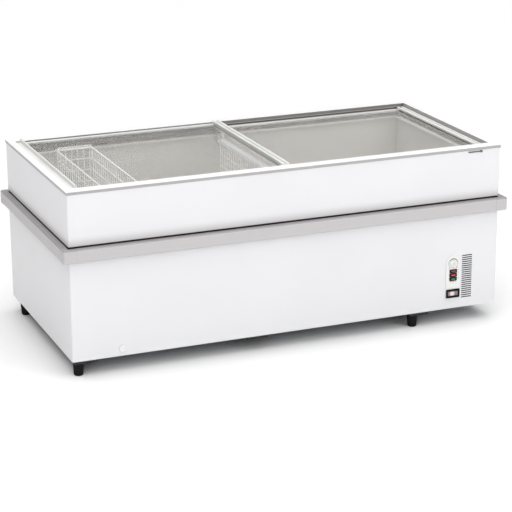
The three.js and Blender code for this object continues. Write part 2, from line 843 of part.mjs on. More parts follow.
function indicatorHousing() {
  const w = indicatorWidth / 2;
  const z = zBase + indicatorZ;
  const h = housingHeight / 2;
  const front = yPlate - indicatorProud;
  const flange = block(panelX - w, panelX + w, front, yPlate - fit, z - h, z + h);
  const box = block(indicatorHole.x0 + fit, indicatorHole.x1 - fit, yPlate - 1, yPlate + indicatorDepth,
    indicatorHole.z0 + fit, indicatorHole.z1 - fit);
  const grooves = [-0.5, 0.5].map((i) => block(
    panelX - w - 1, panelX + w + 1, front - 1, front + 2,
    z + i * indicatorPitch - 0.8, z + i * indicatorPitch + 0.8));
  return cut(join(flange, box), pocket(0), pocket(1), pocket(2), ...grooves);
}

function indicatorLamp(index) {
  const [w, h] = pocketHalves(fit);
  const lens = roundedRectangle(-w, w, -h, h, 1.5);
  const depth = lampPocket - 4;
  const geometry = new THREE.ExtrudeGeometry(lens, {
    depth, bevelThickness: 1, bevelSize: 1, bevelOffset: -1, bevelSegments: 1, curveSegments: 2,
  });
  return facingFront(geometry, panelX, yPlate - indicatorProud + depth, indicatorMiddle(index));
}

// The rocker turns about a vertical axis through its middle, and rests with one half in.
function switchRocker(tilt) {
  const [w, h] = pocketHalves(fit);
  const half = w - 0.7;
  const section = polygon([
    [-half, -3.6], [0, -2.2], [half, -3.6], [half - 1, 2], [2, 4], [-2, 4], [-half + 1, 2],
  ]);
  const rocker = standing(section, -h, h);
  rocker.rotateZ(tilt);
  rocker.translate(panelX, yPlate - 1, indicatorMiddle(2));
  return rocker;
}

function displayBezel() {
  const z = zBase + displayZ;
  const w = displayWidth / 2;
  const h = displayHeight / 2;
  const front = yPlate - displayProud;
  const frame = alongY(roundedRectangle(panelX - w, panelX + w, z - h, z + h, 5), front, yPlate - fit);
  const box = block(displayHole.x0 + fit, displayHole.x1 - fit, yPlate - 1, yPlate + displayDepth,
    displayHole.z0 + fit, displayHole.z1 - fit);
  const window = block(panelX - windowWidth / 2, panelX + windowWidth / 2, front - 1, front + 4,
    z - windowHeight / 2, z + windowHeight / 2);
  return cut(join(frame, box), window);
}

function displayWindow() {
  const z = zBase + displayZ;
  const w = windowWidth / 2 - fit;
  const h = windowHeight / 2 - fit;
  const back = yPlate - displayProud + 4 - fit;
  return block(panelX - w, panelX + w, back - 2, back, z - h, z + h);
}

// A chassis socket with three blade contacts, for a mains lead that unplugs.
function mainsInlet() {
  const z = zBase + inletZ;
  const w = inletWidth / 2;
  const h = inletHeight / 2;
  const body = block(inletX - w, inletX + w, yRear - inletDepth, yRear + 1, z - h, z + h);
  const flange = block(inletX - w - inletFlange, inletX + w + inletFlange, yRear + fit, yRear + 4,
    z - h - inletFlange + 1, z + h + inletFlange - 1);
  const recess = block(inletX - w + inletWall, inletX + w - inletWall, yRear - 12, yRear + 6,
    z - h + inletWall - 1, z + h - inletWall + 1);
  const pins = [-1, 0, 1].map((i) => block(
    inletX + i * pinPitch - 1, inletX + i * pinPitch + 1, yRear - 13, yRear - 1, z - 3, z + 3));
  return join(cut(join(body, flange), recess), ...pins);
}

// ---- Lid catch -------------------------------------------------------------------------
function lockLever() {
  const z = zTop - leverDrop;
  const half = leverThickness / 2;
  const bar = block(leverX - leverLength, leverX, yFront - 4, yFront - fit, z - half, z + half);
  const boss = facingFront(rod(leverBossRadius, 6, 16), leverX, yFront - fit, z);
  return join(bar, boss);
}

// ---- Tank fittings ---------------------------------------------------------------------
// The basket hangs on the ledge trims by its front and rear rims; its loops stand above them.
function basket() {
  const x0 = xLeft + basketX;
  const x1 = x0 + basketWidth;
  const yBody = bodyDepth / 2 - ledgeReach - basketSideGap;
  const yHook = bodyDepth / 2 - throatFace - basketSideGap + 1;
  const zRim = zTop - ledgeDrop + fit;
  const zBottom = zRim - basketDepth;
  const shell = cut(
    block(x0, x1, -yBody, yBody, zBottom, zRim + wire),
    block(x0 + wire, x1 - wire, -yBody + wire, yBody - wire, zBottom + wire, zRim + 99));
  const parts = [shell];
  for (const side of [-1, 1]) {
    const [y0, y1] = [side * (yBody - 1), side * yHook].sort((p, q) => p - q);
    parts.push(block(x0, x1, y0, y1, zRim, zRim + wire));
    const xc = (x0 + x1) / 2;
    const half = basketLoopWidth / 2;
    const y = side * (yBody - wire / 2);
    const loop = cut(
      block(xc - half, xc + half, y - wire / 2, y + wire / 2, zRim, zRim + basketLoopRise),
      block(xc - half + wire, xc + half - wire, y - wire, y + wire, zRim - 1, zRim + basketLoopRise - wire));
    parts.push(loop);
  }
  return join(...parts);
}

// The divider stands on the tank's floor across its whole depth.
function divider() {
  const x = xLeft + dividerX;
  const y = bodyDepth / 2 - wall - dividerGap;
  const zRail = zTop - dividerDrop;
  const rail = block(x - dividerRail / 2, x + dividerRail / 2, -y, y, zRail - dividerRailHeight, zRail);
  const grid = block(x - wire / 2, x + wire / 2, -y, y, zFloor + fit, zRail - 1);
  const pegs = [];
  for (const side of [-1, 1]) {
    for (const offset of [-pegOffset, pegOffset]) {
      const peg = rod(pegRadius, pegHeight + 1, 12);
      peg.translate(x + offset, side * (y - pegInset), zRail - 1);
      pegs.push(peg);
    }
  }
  return join(rail, grid, ...pegs);
}

// ---- Cooling unit ----------------------------------------------------------------------
function compressor() {
  const r = compressorRadius;
  const h = compressorHeight;
  const seam = h * 0.55;
  const dome = turned([
    [0, potBottom], [r * 0.8, potBottom], [r, potShoulder], [r, seam], [r + seamProud, seam],
    [r + seamProud, seam + seamHeight], [r, seam + seamHeight], [r, h * 0.75], [r * 0.7, h * 0.95], [0, h],
  ], 20);
  const plinth = block(
    -r - plinthMargin, r + plinthMargin, -r * 0.7, r * 0.7, 0, plinthThickness);
  const relay = block(
    r - relayOverlap, r + relayProud, -relayWidth / 2, relayWidth / 2, relayLift, relayLift + relayWidth);
  const unit = join(dome, plinth, relay);
  unit.translate(bayCentre - compressorShift, yRear - compressorInset, zPan);
  return unit;
}

function condenser() {
  const x0 = bayCentre - condenserLength / 2;
  const y0 = yFront + condenserInset;
  const core = block(x0, x0 + condenserLength, y0, y0 + condenserDepth, zPan, zPan + condenserHeight);
  const pitch = (condenserLength - 2 * finMargin) / finCount;
  const gaps = Array.from({ length: finCount }, (_, i) => block(
    x0 + finMargin + (i + 0.2) * pitch, x0 + finMargin + (i + 0.8) * pitch, y0 - 1, y0 + condenserDepth - 8,
    zPan + finMargin, zPan + condenserHeight - finMargin));
  return cut(core, ...gaps);
}

function fanMotor() {
  const noseEnd = motorLength + motorNoseLength;
  const shaftEnd = noseEnd + fanShaftLength;
  const motor = facingFront(turned([
    [0, 0], [motorRadius, 0], [motorRadius, motorLength], [motorNose, noseEnd], [fanShaftRadius, noseEnd],
    [fanShaftRadius, shaftEnd], [0, shaftEnd],
  ], 16), bayCentre, fanY + fanSetback, fanZ);
  const post = block(
    bayCentre - postWidth / 2, bayCentre + postWidth / 2, fanY + postFront, fanY + postFront + postDepth,
    zPan, fanZ - postDrop);
  return join(motor, post);
}

function fanBlade() {
  const bore = rod(fanShaftRadius + fit, 2 * hubLength, 12).translate(0, 0, -hubLength / 2);
  const hub = cut(rod(hubRadius, hubLength, 16), bore);
  const blades = Array.from({ length: bladeCount }, (_, i) => {
    const blade = block(
      bladeRoot, fanRadius - bladeTipGap, -bladeWidth / 2, bladeWidth / 2,
      -bladeThickness / 2, bladeThickness / 2);
    blade.rotateX(bladeTwist);
    blade.translate(0, 0, hubLength / 2);
    blade.rotateZ((i * 2 * Math.PI) / bladeCount);
    return blade;
  });
  return facingFront(join(hub, ...blades), bayCentre, fanY + hubFront, fanZ);
}

function filterDrier() {
  const shoulder = drierNeckLength + drierTaper;
  const drier = turned([
    [0, 0], [drierNeck, 0], [drierNeck, drierNeckLength], [drierRadius, shoulder],
    [drierRadius, drierLength - shoulder], [drierNeck, drierLength - drierNeckLength],
    [drierNeck, drierLength], [0, drierLength],
  ], 12);
  drier.translate(bayLeft + drierInset, fanY + drierBehindFan, zPan + drierLift);
  return drier;
}

// ---- Assembly --------------------------------------------------------------------------
addPiece(freezer, 'upper_shell', upperShell(), ...paint.whiteSteel);
addPiece(freezer, 'lower_front_panel', lowerFrontPanel(), ...paint.whiteSteel);
addPiece(freezer, 'lower_rear_panel', lowerRearPanel(), ...paint.whiteSteel);
addPiece(freezer, 'lower_left_panel', endPanel(-1), ...paint.whiteSteel);
addPiece(freezer, 'lower_right_panel', endPanel(1), ...paint.whiteSteel);
addPiece(freezer, 'base_pan', basePan(), ...paint.galvanised);
addPiece(freezer, 'foam_insulation', foamInsulation(), ...paint.foam);
addPiece(freezer, 'tank_liner', tankLiner(), ...paint.liner);
addPiece(freezer, 'evaporator_coil', evaporatorCoil(), ...paint.copper);
addPiece(freezer, 'throat_ring', throatRing(), ...paint.throat);
addPiece(freezer, 'ledge_trim', ledgeTrim(), ...paint.greyPlastic);
addPiece(freezer, 'rim_front', longRim(-1), ...paint.whitePlastic);
addPiece(freezer, 'rim_rear', longRim(1), ...paint.whitePlastic);
addPiece(freezer, 'rim_left', sideRim(-1), ...paint.whitePlastic);
addPiece(freezer, 'rim_right', sideRim(1), ...paint.whitePlastic);

addLid('left_lid', xLeft + rimSideWidth + lidEndGap, upperTrackDrop,
  { name: 'handle', width: handleWidth, ribs: [[handleWidth - handleRib, handleRib, handleRise]] },
  { name: 'centre_grip', width: centreWidth,
    ribs: [[0, centreRib, centreRise], [centreWidth - centreRib, centreRib, centreRise]] });
addLid('right_lid', xRight - rimSideWidth - lidEndGap - lidLength, lowerTrackDrop,
  { name: 'seal_bar', width: handleWidth, ribs: [] },
  { name: 'handle', width: centreWidth,
    ribs: [[0, centreRib, lowRise], [centreWidth - centreRib, centreRib, lowRise]] });

addPiece(freezer, 'bumper_front', longBumper(-1), ...paint.greyPlastic);
addPiece(freezer, 'bumper_rear', longBumper(1), ...paint.greyPlastic);
addPiece(freezer, 'bumper_left', sideBumper(-1), ...paint.greyPlastic);
addPiece(freezer, 'bumper_right', sideBumper(1), ...paint.greyPlastic);
addPiece(freezer, 'bumper_cap_front_left', bumperCap(-1, -1), ...paint.greyPlastic);
addPiece(freezer, 'bumper_cap_front_right', bumperCap(1, -1), ...paint.greyPlastic);
addPiece(freezer, 'bumper_cap_rear_left', bumperCap(-1, 1), ...paint.greyPlastic);
addPiece(freezer, 'bumper_cap_rear_right', bumperCap(1, 1), ...paint.greyPlastic);

['left', 'middle', 'right'].forEach((name, rail) => {
  addPiece(freezer, `cross_rail_${name}`, crossRail(rail), ...paint.black);
});
for (const [end, rail] of [['left', 0], ['right', 2]]) {
  addPiece(freezer, `foot_front_${end}`, levellingFoot(rail, -1), ...paint.black);
  addPiece(freezer, `foot_rear_${end}`, levellingFoot(rail, 1), ...paint.black);
}

addPiece(freezer, 'drain_pipe', drainPipe(), ...paint.greyPlastic);
addPiece(freezer, 'drain_cap', drainCap(), ...paint.whitePlastic);
addPiece(freezer, 'tank_plug', tankPlug(), ...paint.black);

addPiece(freezer, 'control_plate', controlPlate(), ...paint.whitePlastic);
addPiece(freezer, 'thermostat_knob', thermostatKnob(), ...paint.whitePlastic);
addPiece(freezer, 'indicator_housing', indicatorHousing(), ...paint.black);
addPiece(freezer, 'switch_rocker', switchRocker(-0.12), ...paint.darkLens);
addPiece(freezer, 'lamp_red', indicatorLamp(1), ...paint.redLens);
addPiece(freezer, 'lamp_green', indicatorLamp(0), ...paint.greenLens);
addPiece(freezer, 'display_bezel', displayBezel(), ...paint.black);
addPiece(freezer, 'display_window', displayWindow(), ...paint.glass);
addPiece(freezer, 'lock_lever', lockLever(), ...paint.greyPlastic);
addPiece(freezer, 'mains_inlet', mainsInlet(), ...paint.black);

addPiece(freezer, 'basket', basket(), ...paint.whiteWire);
addPiece(freezer, 'divider', divider(), ...paint.whiteWire);

addPiece(freezer, 'compressor', compressor(), ...paint.black);
addPiece(freezer, 'condenser', condenser(), ...paint.aluminium);
addPiece(freezer, 'fan_motor', fanMotor(), ...paint.galvanised);
addPiece(freezer, 'fan_blade', fanBlade(), ...paint.aluminium);
addPiece(freezer, 'filter_drier', filterDrier(), ...paint.copper);

export default freezer;
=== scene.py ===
# Island chest freezer with sliding glass lids: finishes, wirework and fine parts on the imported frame.
import bpy
import bmesh
import json
import math
from mathutils import Matrix, Vector

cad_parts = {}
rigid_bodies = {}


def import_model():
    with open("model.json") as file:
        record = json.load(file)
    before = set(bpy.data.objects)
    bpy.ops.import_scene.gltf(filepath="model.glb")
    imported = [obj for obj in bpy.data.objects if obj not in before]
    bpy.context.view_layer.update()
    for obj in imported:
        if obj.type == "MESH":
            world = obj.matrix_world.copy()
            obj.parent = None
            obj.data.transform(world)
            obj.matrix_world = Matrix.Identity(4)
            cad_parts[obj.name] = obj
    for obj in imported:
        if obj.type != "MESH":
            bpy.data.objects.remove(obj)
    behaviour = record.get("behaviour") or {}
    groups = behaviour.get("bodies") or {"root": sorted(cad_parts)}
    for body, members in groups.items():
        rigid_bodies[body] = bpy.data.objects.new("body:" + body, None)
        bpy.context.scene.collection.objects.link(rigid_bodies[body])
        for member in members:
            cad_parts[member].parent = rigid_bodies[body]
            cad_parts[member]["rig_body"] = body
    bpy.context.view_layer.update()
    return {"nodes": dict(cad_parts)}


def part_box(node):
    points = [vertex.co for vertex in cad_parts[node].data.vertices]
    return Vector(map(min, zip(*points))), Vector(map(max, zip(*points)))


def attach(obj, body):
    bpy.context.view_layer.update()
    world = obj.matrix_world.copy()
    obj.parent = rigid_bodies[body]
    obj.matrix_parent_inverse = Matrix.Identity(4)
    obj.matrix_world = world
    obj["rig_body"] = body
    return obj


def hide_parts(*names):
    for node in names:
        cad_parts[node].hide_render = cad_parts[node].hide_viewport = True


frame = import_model()
scene = bpy.context.scene
mm = 0.001
towardsFront = Matrix.Rotation(math.radians(90), 4, "X")   # turns +Z to -Y, out of the cabinet's front
print("frame loaded:", len(frame["nodes"]), "nodes")

# camera and studio
cameraSettings = {
    "eye": (-3.146, -7.893, 2.994), "azimuth": 21.87, "elevation": 17.68, "roll": -0.36, "lens": 130.9,
}


def placeCamera():
    s = cameraSettings
    azimuth, elevation, roll = (math.radians(s[k]) for k in ("azimuth", "elevation", "roll"))
    ahead = Vector((math.sin(azimuth) * math.cos(elevation), math.cos(azimuth) * math.cos(elevation),
                    -math.sin(elevation)))
    level = Vector((math.cos(azimuth), -math.sin(azimuth), 0))
    above = level.cross(ahead)
    right = level * math.cos(roll) + above * math.sin(roll)
    up = above * math.cos(roll) - level * math.sin(roll)
    data = bpy.data.cameras.new("camera")
    data.lens = s["lens"]
    camera = bpy.data.objects.new("camera", data)
    scene.collection.objects.link(camera)
    turn = Matrix((right, up, -ahead)).transposed().to_4x4()
    camera.matrix_world = Matrix.Translation(s["eye"]) @ turn
    scene.camera = camera


placeCamera()


def linearColour(hexText):
    channels = [int(hexText[i:i + 2], 16) / 255 for i in (0, 2, 4)]
    return (*[c / 12.92 if c <= 0.04045 else ((c + 0.055) / 1.055) ** 2.4 for c in channels], 1)


def perMetre(size):
    return 1000 / size   # pattern scale for a feature of this size in mm, on Object coordinates in metres


def addNode(tree, kind, inputs=None, **settings):
    node = tree.nodes.new(kind)
    for name, value in settings.items():
        setattr(node, name, value)
    for name, value in (inputs or {}).items():
        if isinstance(value, bpy.types.NodeSocket):
            tree.links.new(value, node.inputs[name])
        else:
            node.inputs[name].default_value = value
    return node


# where each lamp hangs, what it points at, its size in metres and its power
studioLamps = {
    "leftSoftbox": {"at": (-2.4, -3.8, 2.3), "to": (-0.5, -0.5, 0.4), "size": (2.4, 2.0), "power": 47},
    "rightSoftbox": {"at": (2.3, -4.0, 2.3), "to": (0.5, -0.5, 0.4), "size": (2.4, 2.0), "power": 50},
}
# the dome: dim near the horizon, bright overhead, with a soft edge between the two heights
domeSettings = {"horizon": 0.05, "overhead": 2.2, "edge": (0.52, 0.80)}


def hangLamps():
    for name, s in studioLamps.items():
        data = bpy.data.lights.new(name, "AREA")
        data.shape = "RECTANGLE"
        data.size, data.size_y = s["size"]
        data.energy = s["power"]
        lamp = bpy.data.objects.new(name, data)
        scene.collection.objects.link(lamp)
        lamp.location = s["at"]
        aim = Vector(s["to"]) - Vector(s["at"])
        lamp.rotation_euler = aim.to_track_quat("-Z", "Y").to_euler()
        lamp.visible_camera = False
    s = domeSettings
    world = bpy.data.worlds.new("studio")
    world.use_nodes = True
    tree = world.node_tree
    direction = addNode(tree, "ShaderNodeTexCoord").outputs["Generated"]
    height = addNode(tree, "ShaderNodeSeparateXYZ", {"Vector": direction}).outputs["Z"]
    glow = addNode(tree, "ShaderNodeMapRange", {
        "Value": height, "From Min": s["edge"][0], "From Max": s["edge"][1],
        "To Min": s["horizon"], "To Max": s["overhead"]}, interpolation_type="SMOOTHSTEP")
    tree.nodes["Background"].inputs["Color"].default_value = (1, 1, 1, 1)
    tree.links.new(glow.outputs["Result"], tree.nodes["Background"].inputs["Strength"])
    scene.world = world
    scene.view_settings.view_transform = "Standard"


hangLamps()
print("camera and lamps placed")


def startMaterial(name, look):
    material = bpy.data.materials.new(name)
    material.use_nodes = True
    tree = material.node_tree
    shader = tree.nodes["Principled BSDF"]
    for socket, key in (("Metallic", "metallic"), ("IOR", "ior"), ("Coat Weight", "coat"),
                        ("Coat Roughness", "coatRoughness"), ("Specular IOR Level", "specular")):
        if key in look:
            shader.inputs[socket].default_value = look[key]
    coords = addNode(tree, "ShaderNodeTexCoord").outputs["Object"]
    return material, tree, shader, coords


# A finish with cloudy colour, uneven gloss and a fine relief. Sizes are in mm; run is the axis that
# an extrusion's or a drawn wire's lines follow, and they are drawn fifty times longer than wide.
def finish(name, look):
    material, tree, shader, coords = startMaterial(name, look)
    stretch = {"X": (0.02, 1, 1), "Y": (1, 0.02, 1), "Z": (1, 1, 0.02)}.get(look.get("run"), (1, 1, 1))
    along = addNode(tree, "ShaderNodeMapping", {"Vector": coords, "Scale": stretch}).outputs["Vector"]
    cloud = addNode(tree, "ShaderNodeTexNoise",
                    {"Vector": coords, "Scale": perMetre(look["cloud"]), "Detail": 3})
    grain = addNode(tree, "ShaderNodeTexNoise",
                    {"Vector": along, "Scale": perMetre(look["grain"]), "Detail": 2})
    cloudy = addNode(tree, "ShaderNodeMapRange",
                     {"Value": cloud.outputs["Fac"], "From Min": 0.3, "From Max": 0.7})
    colour = addNode(tree, "ShaderNodeMixRGB", {
        "Fac": cloudy.outputs["Result"],
        "Color1": linearColour(look["colour"]), "Color2": linearColour(look["shade"])})
    if "paintedShade" in look:   # painted shade: darker at this height, fading out upwards over so many mm
        level, depth, shadeColour = look["paintedShade"]
        height = addNode(tree, "ShaderNodeSeparateXYZ", {"Vector": coords}).outputs["Z"]
        paintedShade = addNode(tree, "ShaderNodeMapRange", {
            "Value": height, "From Min": level, "From Max": level + depth * mm,
            "To Min": 1.0, "To Max": 0.0}, interpolation_type="SMOOTHSTEP")
        colour = addNode(tree, "ShaderNodeMixRGB", {
            "Fac": paintedShade.outputs["Result"], "Color1": colour.outputs["Color"],
            "Color2": linearColour(shadeColour)})
    gloss = addNode(tree, "ShaderNodeMapRange", {
        "Value": grain.outputs["Fac"], "From Min": 0.3, "From Max": 0.7,
        "To Min": look["rough"][0], "To Max": look["rough"][1]})
    relief = addNode(tree, "ShaderNodeBump", {
        "Height": grain.outputs["Fac"], "Distance": look["relief"] * mm, "Strength": 1.0})
    tree.links.new(colour.outputs["Color"], shader.inputs["Base Color"])
    tree.links.new(gloss.outputs["Result"], shader.inputs["Roughness"])
    tree.links.new(relief.outputs["Normal"], shader.inputs["Normal"])
    return material


# Polyester powder coat on steel sheet: even white with a soft orange peel. Real peel is 2 to 3 mm wide
# and is drawn at 7 mm so that it shows.
powderLook = {"colour": "E0E0E2", "shade": "DDDDDF", "cloud": 420, "grain": 7, "relief": 0.03,
              "rough": (0.32, 0.42), "coat": 0.15, "coatRoughness": 0.2, "ior": 1.5}
powderCoat = finish("whitePowderCoat", powderLook)
# Above the joint: painted shade, darker at the casing's lower edge and fading out over 45 mm upwards.
powderCoatUpper = finish("whitePowderCoatAboveJoint", {
    **powderLook, "paintedShade": (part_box("upper_shell")[0].z, 45, "C8C6C7")})

# Extruded rigid PVC: satin white, with faint die lines along the length.
whiteProfile = {"colour": "E6E6E4", "shade": "DEDEDC", "cloud": 160, "grain": 2.2, "relief": 0.02,
               "rough": (0.32, 0.46), "ior": 1.53, "coat": 0.1, "coatRoughness": 0.2}
profileAlongX = finish("whitePvcProfileX", {**whiteProfile, "run": "X"})
profileAlongY = finish("whitePvcProfileY", {**whiteProfile, "run": "Y"})

# Moulded white ABS: bright, even, slightly glossy.
whiteAbs = finish("whiteAbs", {
    "colour": "E6E6E5", "shade": "E1E1DF", "cloud": 60, "grain": 1.2, "relief": 0.015,
    "rough": (0.28, 0.38), "ior": 1.54, "coat": 0.15, "coatRoughness": 0.1})

# Dark, warm throat frame: matt PVC.
throatPvc = finish("throatPvcBrown", {
    "colour": "66584F", "shade": "5C4F47", "cloud": 90, "grain": 2.0, "relief": 0.03,
    "rough": (0.45, 0.6), "ior": 1.53})

# Ledge trim: warm grey satin PVC.
ledgePvc = finish("ledgePvcGrey", {
    "colour": "C9C3BB", "shade": "C0BAB2", "cloud": 110, "grain": 2.0, "relief": 0.02,
    "rough": (0.35, 0.5), "ior": 1.53})

# Black moulded polypropylene: fine spark grain, dull.
blackPp = finish("blackPolypropylene", {
    "colour": "080808", "shade": "0E0E0F", "cloud": 14, "grain": 1.4, "relief": 0.05,
    "rough": (0.45, 0.62), "ior": 1.49, "specular": 0.2})

# Black powder coat on folded steel.
blackCoat = finish("blackPowderCoat", {
    "colour": "0B0B0B", "shade": "121212", "cloud": 50, "grain": 3, "relief": 0.04,
    "rough": (0.4, 0.55), "ior": 1.5})

# EPDM strip: deep black, dusty at its high spots.
epdmRubber = finish("epdmRubber", {
    "colour": "1B1B1B", "shade": "242322", "cloud": 30, "grain": 1.0, "relief": 0.04,
    "rough": (0.6, 0.8), "ior": 1.5})

# Grey PVC waste pipe.
pipePvc = finish("wastePipePvc", {
    "colour": "8C8C8B", "shade": "838382", "cloud": 40, "grain": 1.5, "relief": 0.02,
    "rough": (0.4, 0.5), "ior": 1.53})

# White polyethylene dip coat on drawn wire: thick, soft-edged and slightly uneven.
wireCoat = finish("whiteCoatedWire", {
    "colour": "F0EFEC", "shade": "E9E7E3", "cloud": 25, "grain": 4, "relief": 0.12,
    "rough": (0.35, 0.5), "ior": 1.51})

# Turned zinc-plated steel: cool grey with a hint of yellow.
zincSteel = finish("zincPlatedSteel", {
    "colour": "A9AAA8", "shade": "B4B2A8", "cloud": 4, "grain": 0.8, "relief": 0.01,
    "rough": (0.25, 0.4), "metallic": 1.0})

# Stamped stainless lever, brushed along its length.
brushedLever = finish("brushedStainless", {
    "colour": "6F6E6E", "shade": "7C7B7A", "cloud": 12, "grain": 0.8, "relief": 0.01,
    "rough": (0.3, 0.45), "metallic": 1.0, "run": "X"})

# Drawn copper tube, handled and slightly tarnished.
copperTube = finish("drawnCopper", {
    "colour": "C67A4E", "shade": "9C5A3C", "cloud": 60, "grain": 3, "relief": 0.01,
    "rough": (0.22, 0.4), "metallic": 1.0})

# Mill-finish aluminium fins and blade.
millAluminium = finish("millAluminium", {
    "colour": "C9CBCD", "shade": "BCBEC0", "cloud": 40, "grain": 1.2, "relief": 0.01,
    "rough": (0.28, 0.42), "metallic": 1.0, "run": "Z"})


# An extruded profile coloured in bands by height: bands lists heights in metres and the colour above.
def heightBandedProfile(name, look, bands):
    material, tree, shader, coords = startMaterial(name, look)
    height = addNode(tree, "ShaderNodeSeparateXYZ", {"Vector": coords}).outputs["Z"]
    stretch = {"X": (0.02, 1, 1), "Y": (1, 0.02, 1)}.get(look.get("run"), (1, 1, 1))
    along = addNode(tree, "ShaderNodeMapping", {"Vector": coords, "Scale": stretch}).outputs["Vector"]
    lines = addNode(tree, "ShaderNodeTexNoise", {
        "Vector": along, "Scale": perMetre(look["grain"]), "Detail": 2}).outputs["Fac"]
    layer = addNode(tree, "ShaderNodeMixRGB", {
        "Fac": lines, "Color1": linearColour(look["colour"]),
        "Color2": linearColour(look["shade"])}).outputs["Color"]
    for level, colour in bands:
        reached = addNode(tree, "ShaderNodeMapRange", {
            "Value": height, "From Min": level - 0.2 * mm, "From Max": level + 0.2 * mm})
        layer = addNode(tree, "ShaderNodeMixRGB", {
            "Fac": reached.outputs["Result"], "Color1": layer,
            "Color2": linearColour(colour)}).outputs["Color"]
    gloss = addNode(tree, "ShaderNodeMapRange", {
        "Value": lines, "From Min": 0.3, "From Max": 0.7,
        "To Min": look["rough"][0], "To Max": look["rough"][1]})
    relief = addNode(tree, "ShaderNodeBump",
                     {"Height": lines, "Distance": look["relief"] * mm, "Strength": 1.0})
    tree.links.new(layer, shader.inputs["Base Color"])
    tree.links.new(gloss.outputs["Result"], shader.inputs["Roughness"])
    tree.links.new(relief.outputs["Normal"], shader.inputs["Normal"])
    return material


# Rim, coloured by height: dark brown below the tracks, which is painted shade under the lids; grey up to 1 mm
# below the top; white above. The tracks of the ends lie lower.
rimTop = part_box("rim_front")[1].z
rimLook = {**whiteProfile, "colour": "7A6C62", "shade": "6F6259"}
rimAlongX = heightBandedProfile("rimPvcBandsWithPaintedShadeX", {**rimLook, "run": "X"},
                           ((rimTop - 19 * mm, "A6A4A4"), (rimTop - 1.0 * mm, "F0F0EF")))
rimAlongY = heightBandedProfile("rimPvcBandsWithPaintedShadeY", {**rimLook, "run": "Y"},
                           ((rimTop - 36 * mm, "A6A4A4"), (rimTop - 1.0 * mm, "F0F0EF")))

# Bumper: softer PVC, a little warmer and duller; its top 3.4 mm is darker, painted shade.
bumperLook = {"colour": "BEBBBC", "shade": "B8B5B6", "cloud": 120, "grain": 3.0, "relief": 0.035,
              "rough": (0.38, 0.55), "ior": 1.53}
# the darker band at the top is painted shade, on the extrusions and the moulded caps alike
bumperTopShadeBands = ((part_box("bumper_front")[1].z - 3.4 * mm, "9A9798"),)
bumperAlongX = heightBandedProfile("bumperPvcX", {**bumperLook, "run": "X"}, bumperTopShadeBands)
bumperAlongY = heightBandedProfile("bumperPvcY", {**bumperLook, "run": "Y"}, bumperTopShadeBands)
# Injection-moulded end cap with a fine spark-eroded grain.
bumperMoulded = heightBandedProfile("bumperMouldedCap", {**bumperLook, "grain": 1.6, "relief": 0.05}, bumperTopShadeBands)


# Stucco-embossed aluminium with a warm grey lacquer: a matt sheet that breaks up reflections. Real
# stucco cells are 2 to 3 mm and are drawn at 8 mm so that they show.
def stuccoLiner():
    look = {"ior": 1.5}
    material, tree, shader, coords = startMaterial("stuccoLiner", look)
    cells = addNode(tree, "ShaderNodeTexVoronoi", {"Vector": coords, "Scale": perMetre(8)},
                    feature="SMOOTH_F1")
    cloud = addNode(tree, "ShaderNodeTexNoise", {"Vector": coords, "Scale": perMetre(300), "Detail": 2})
    colour = addNode(tree, "ShaderNodeMixRGB", {
        "Fac": cloud.outputs["Fac"], "Color1": linearColour("C9C3BC"), "Color2": linearColour("C1BBB4")})
    gloss = addNode(tree, "ShaderNodeMapRange",
                    {"Value": cells.outputs["Distance"], "To Min": 0.4, "To Max": 0.6})
    relief = addNode(tree, "ShaderNodeBump",
                     {"Height": cells.outputs["Distance"], "Distance": 0.15 * mm, "Strength": 0.6})
    tree.links.new(colour.outputs["Color"], shader.inputs["Base Color"])
    tree.links.new(gloss.outputs["Result"], shader.inputs["Roughness"])
    tree.links.new(relief.outputs["Normal"], shader.inputs["Normal"])
    return material


# Hot-dip galvanised sheet: spangle cells about 12 mm wide that differ in brightness and gloss.
def galvanisedSheet():
    material, tree, shader, coords = startMaterial("galvanisedSheet", {"metallic": 1.0})
    spangle = addNode(tree, "ShaderNodeTexVoronoi", {"Vector": coords, "Scale": perMetre(12)})
    tone = addNode(tree, "ShaderNodeSeparateColor", {"Color": spangle.outputs["Color"]}).outputs["Red"]
    colour = addNode(tree, "ShaderNodeMixRGB", {
        "Fac": tone, "Color1": linearColour("A6AAAD"), "Color2": linearColour("C3C7C9")})
    gloss = addNode(tree, "ShaderNodeMapRange", {"Value": tone, "To Min": 0.3, "To Max": 0.5})
    tree.links.new(colour.outputs["Color"], shader.inputs["Base Color"])
    tree.links.new(gloss.outputs["Result"], shader.inputs["Roughness"])
    return material


# Rigid polyurethane foam, cut: cream, matt, open cells about 1 mm drawn at 3 mm.
def cutFoam():
    material, tree, shader, coords = startMaterial("cutPolyurethaneFoam", {"ior": 1.4})
    cells = addNode(tree, "ShaderNodeTexVoronoi", {"Vector": coords, "Scale": perMetre(3)})
    colour = addNode(tree, "ShaderNodeMixRGB", {
        "Fac": cells.outputs["Distance"], "Color1": linearColour("B9A36C"),
        "Color2": linearColour("DCC98F")})
    relief = addNode(tree, "ShaderNodeBump",
                     {"Height": cells.outputs["Distance"], "Distance": 0.5 * mm, "Strength": 0.8})
    tree.links.new(colour.outputs["Color"], shader.inputs["Base Color"])
    tree.links.new(relief.outputs["Normal"], shader.inputs["Normal"])
    shader.inputs["Roughness"].default_value = 0.9
    return material


# Toughened soda-lime glass: clear with a faint green cast and slight roller waviness. Lamps and
# diffuse light pass straight through, as they all but do through a flat pane, and so does the clear
# share of what is seen: a ray that came in straight leaves straight, and a bent one leaves bent.
glassSettings = {"clear": 0.45}   # share that an anti-reflection coat lets straight through


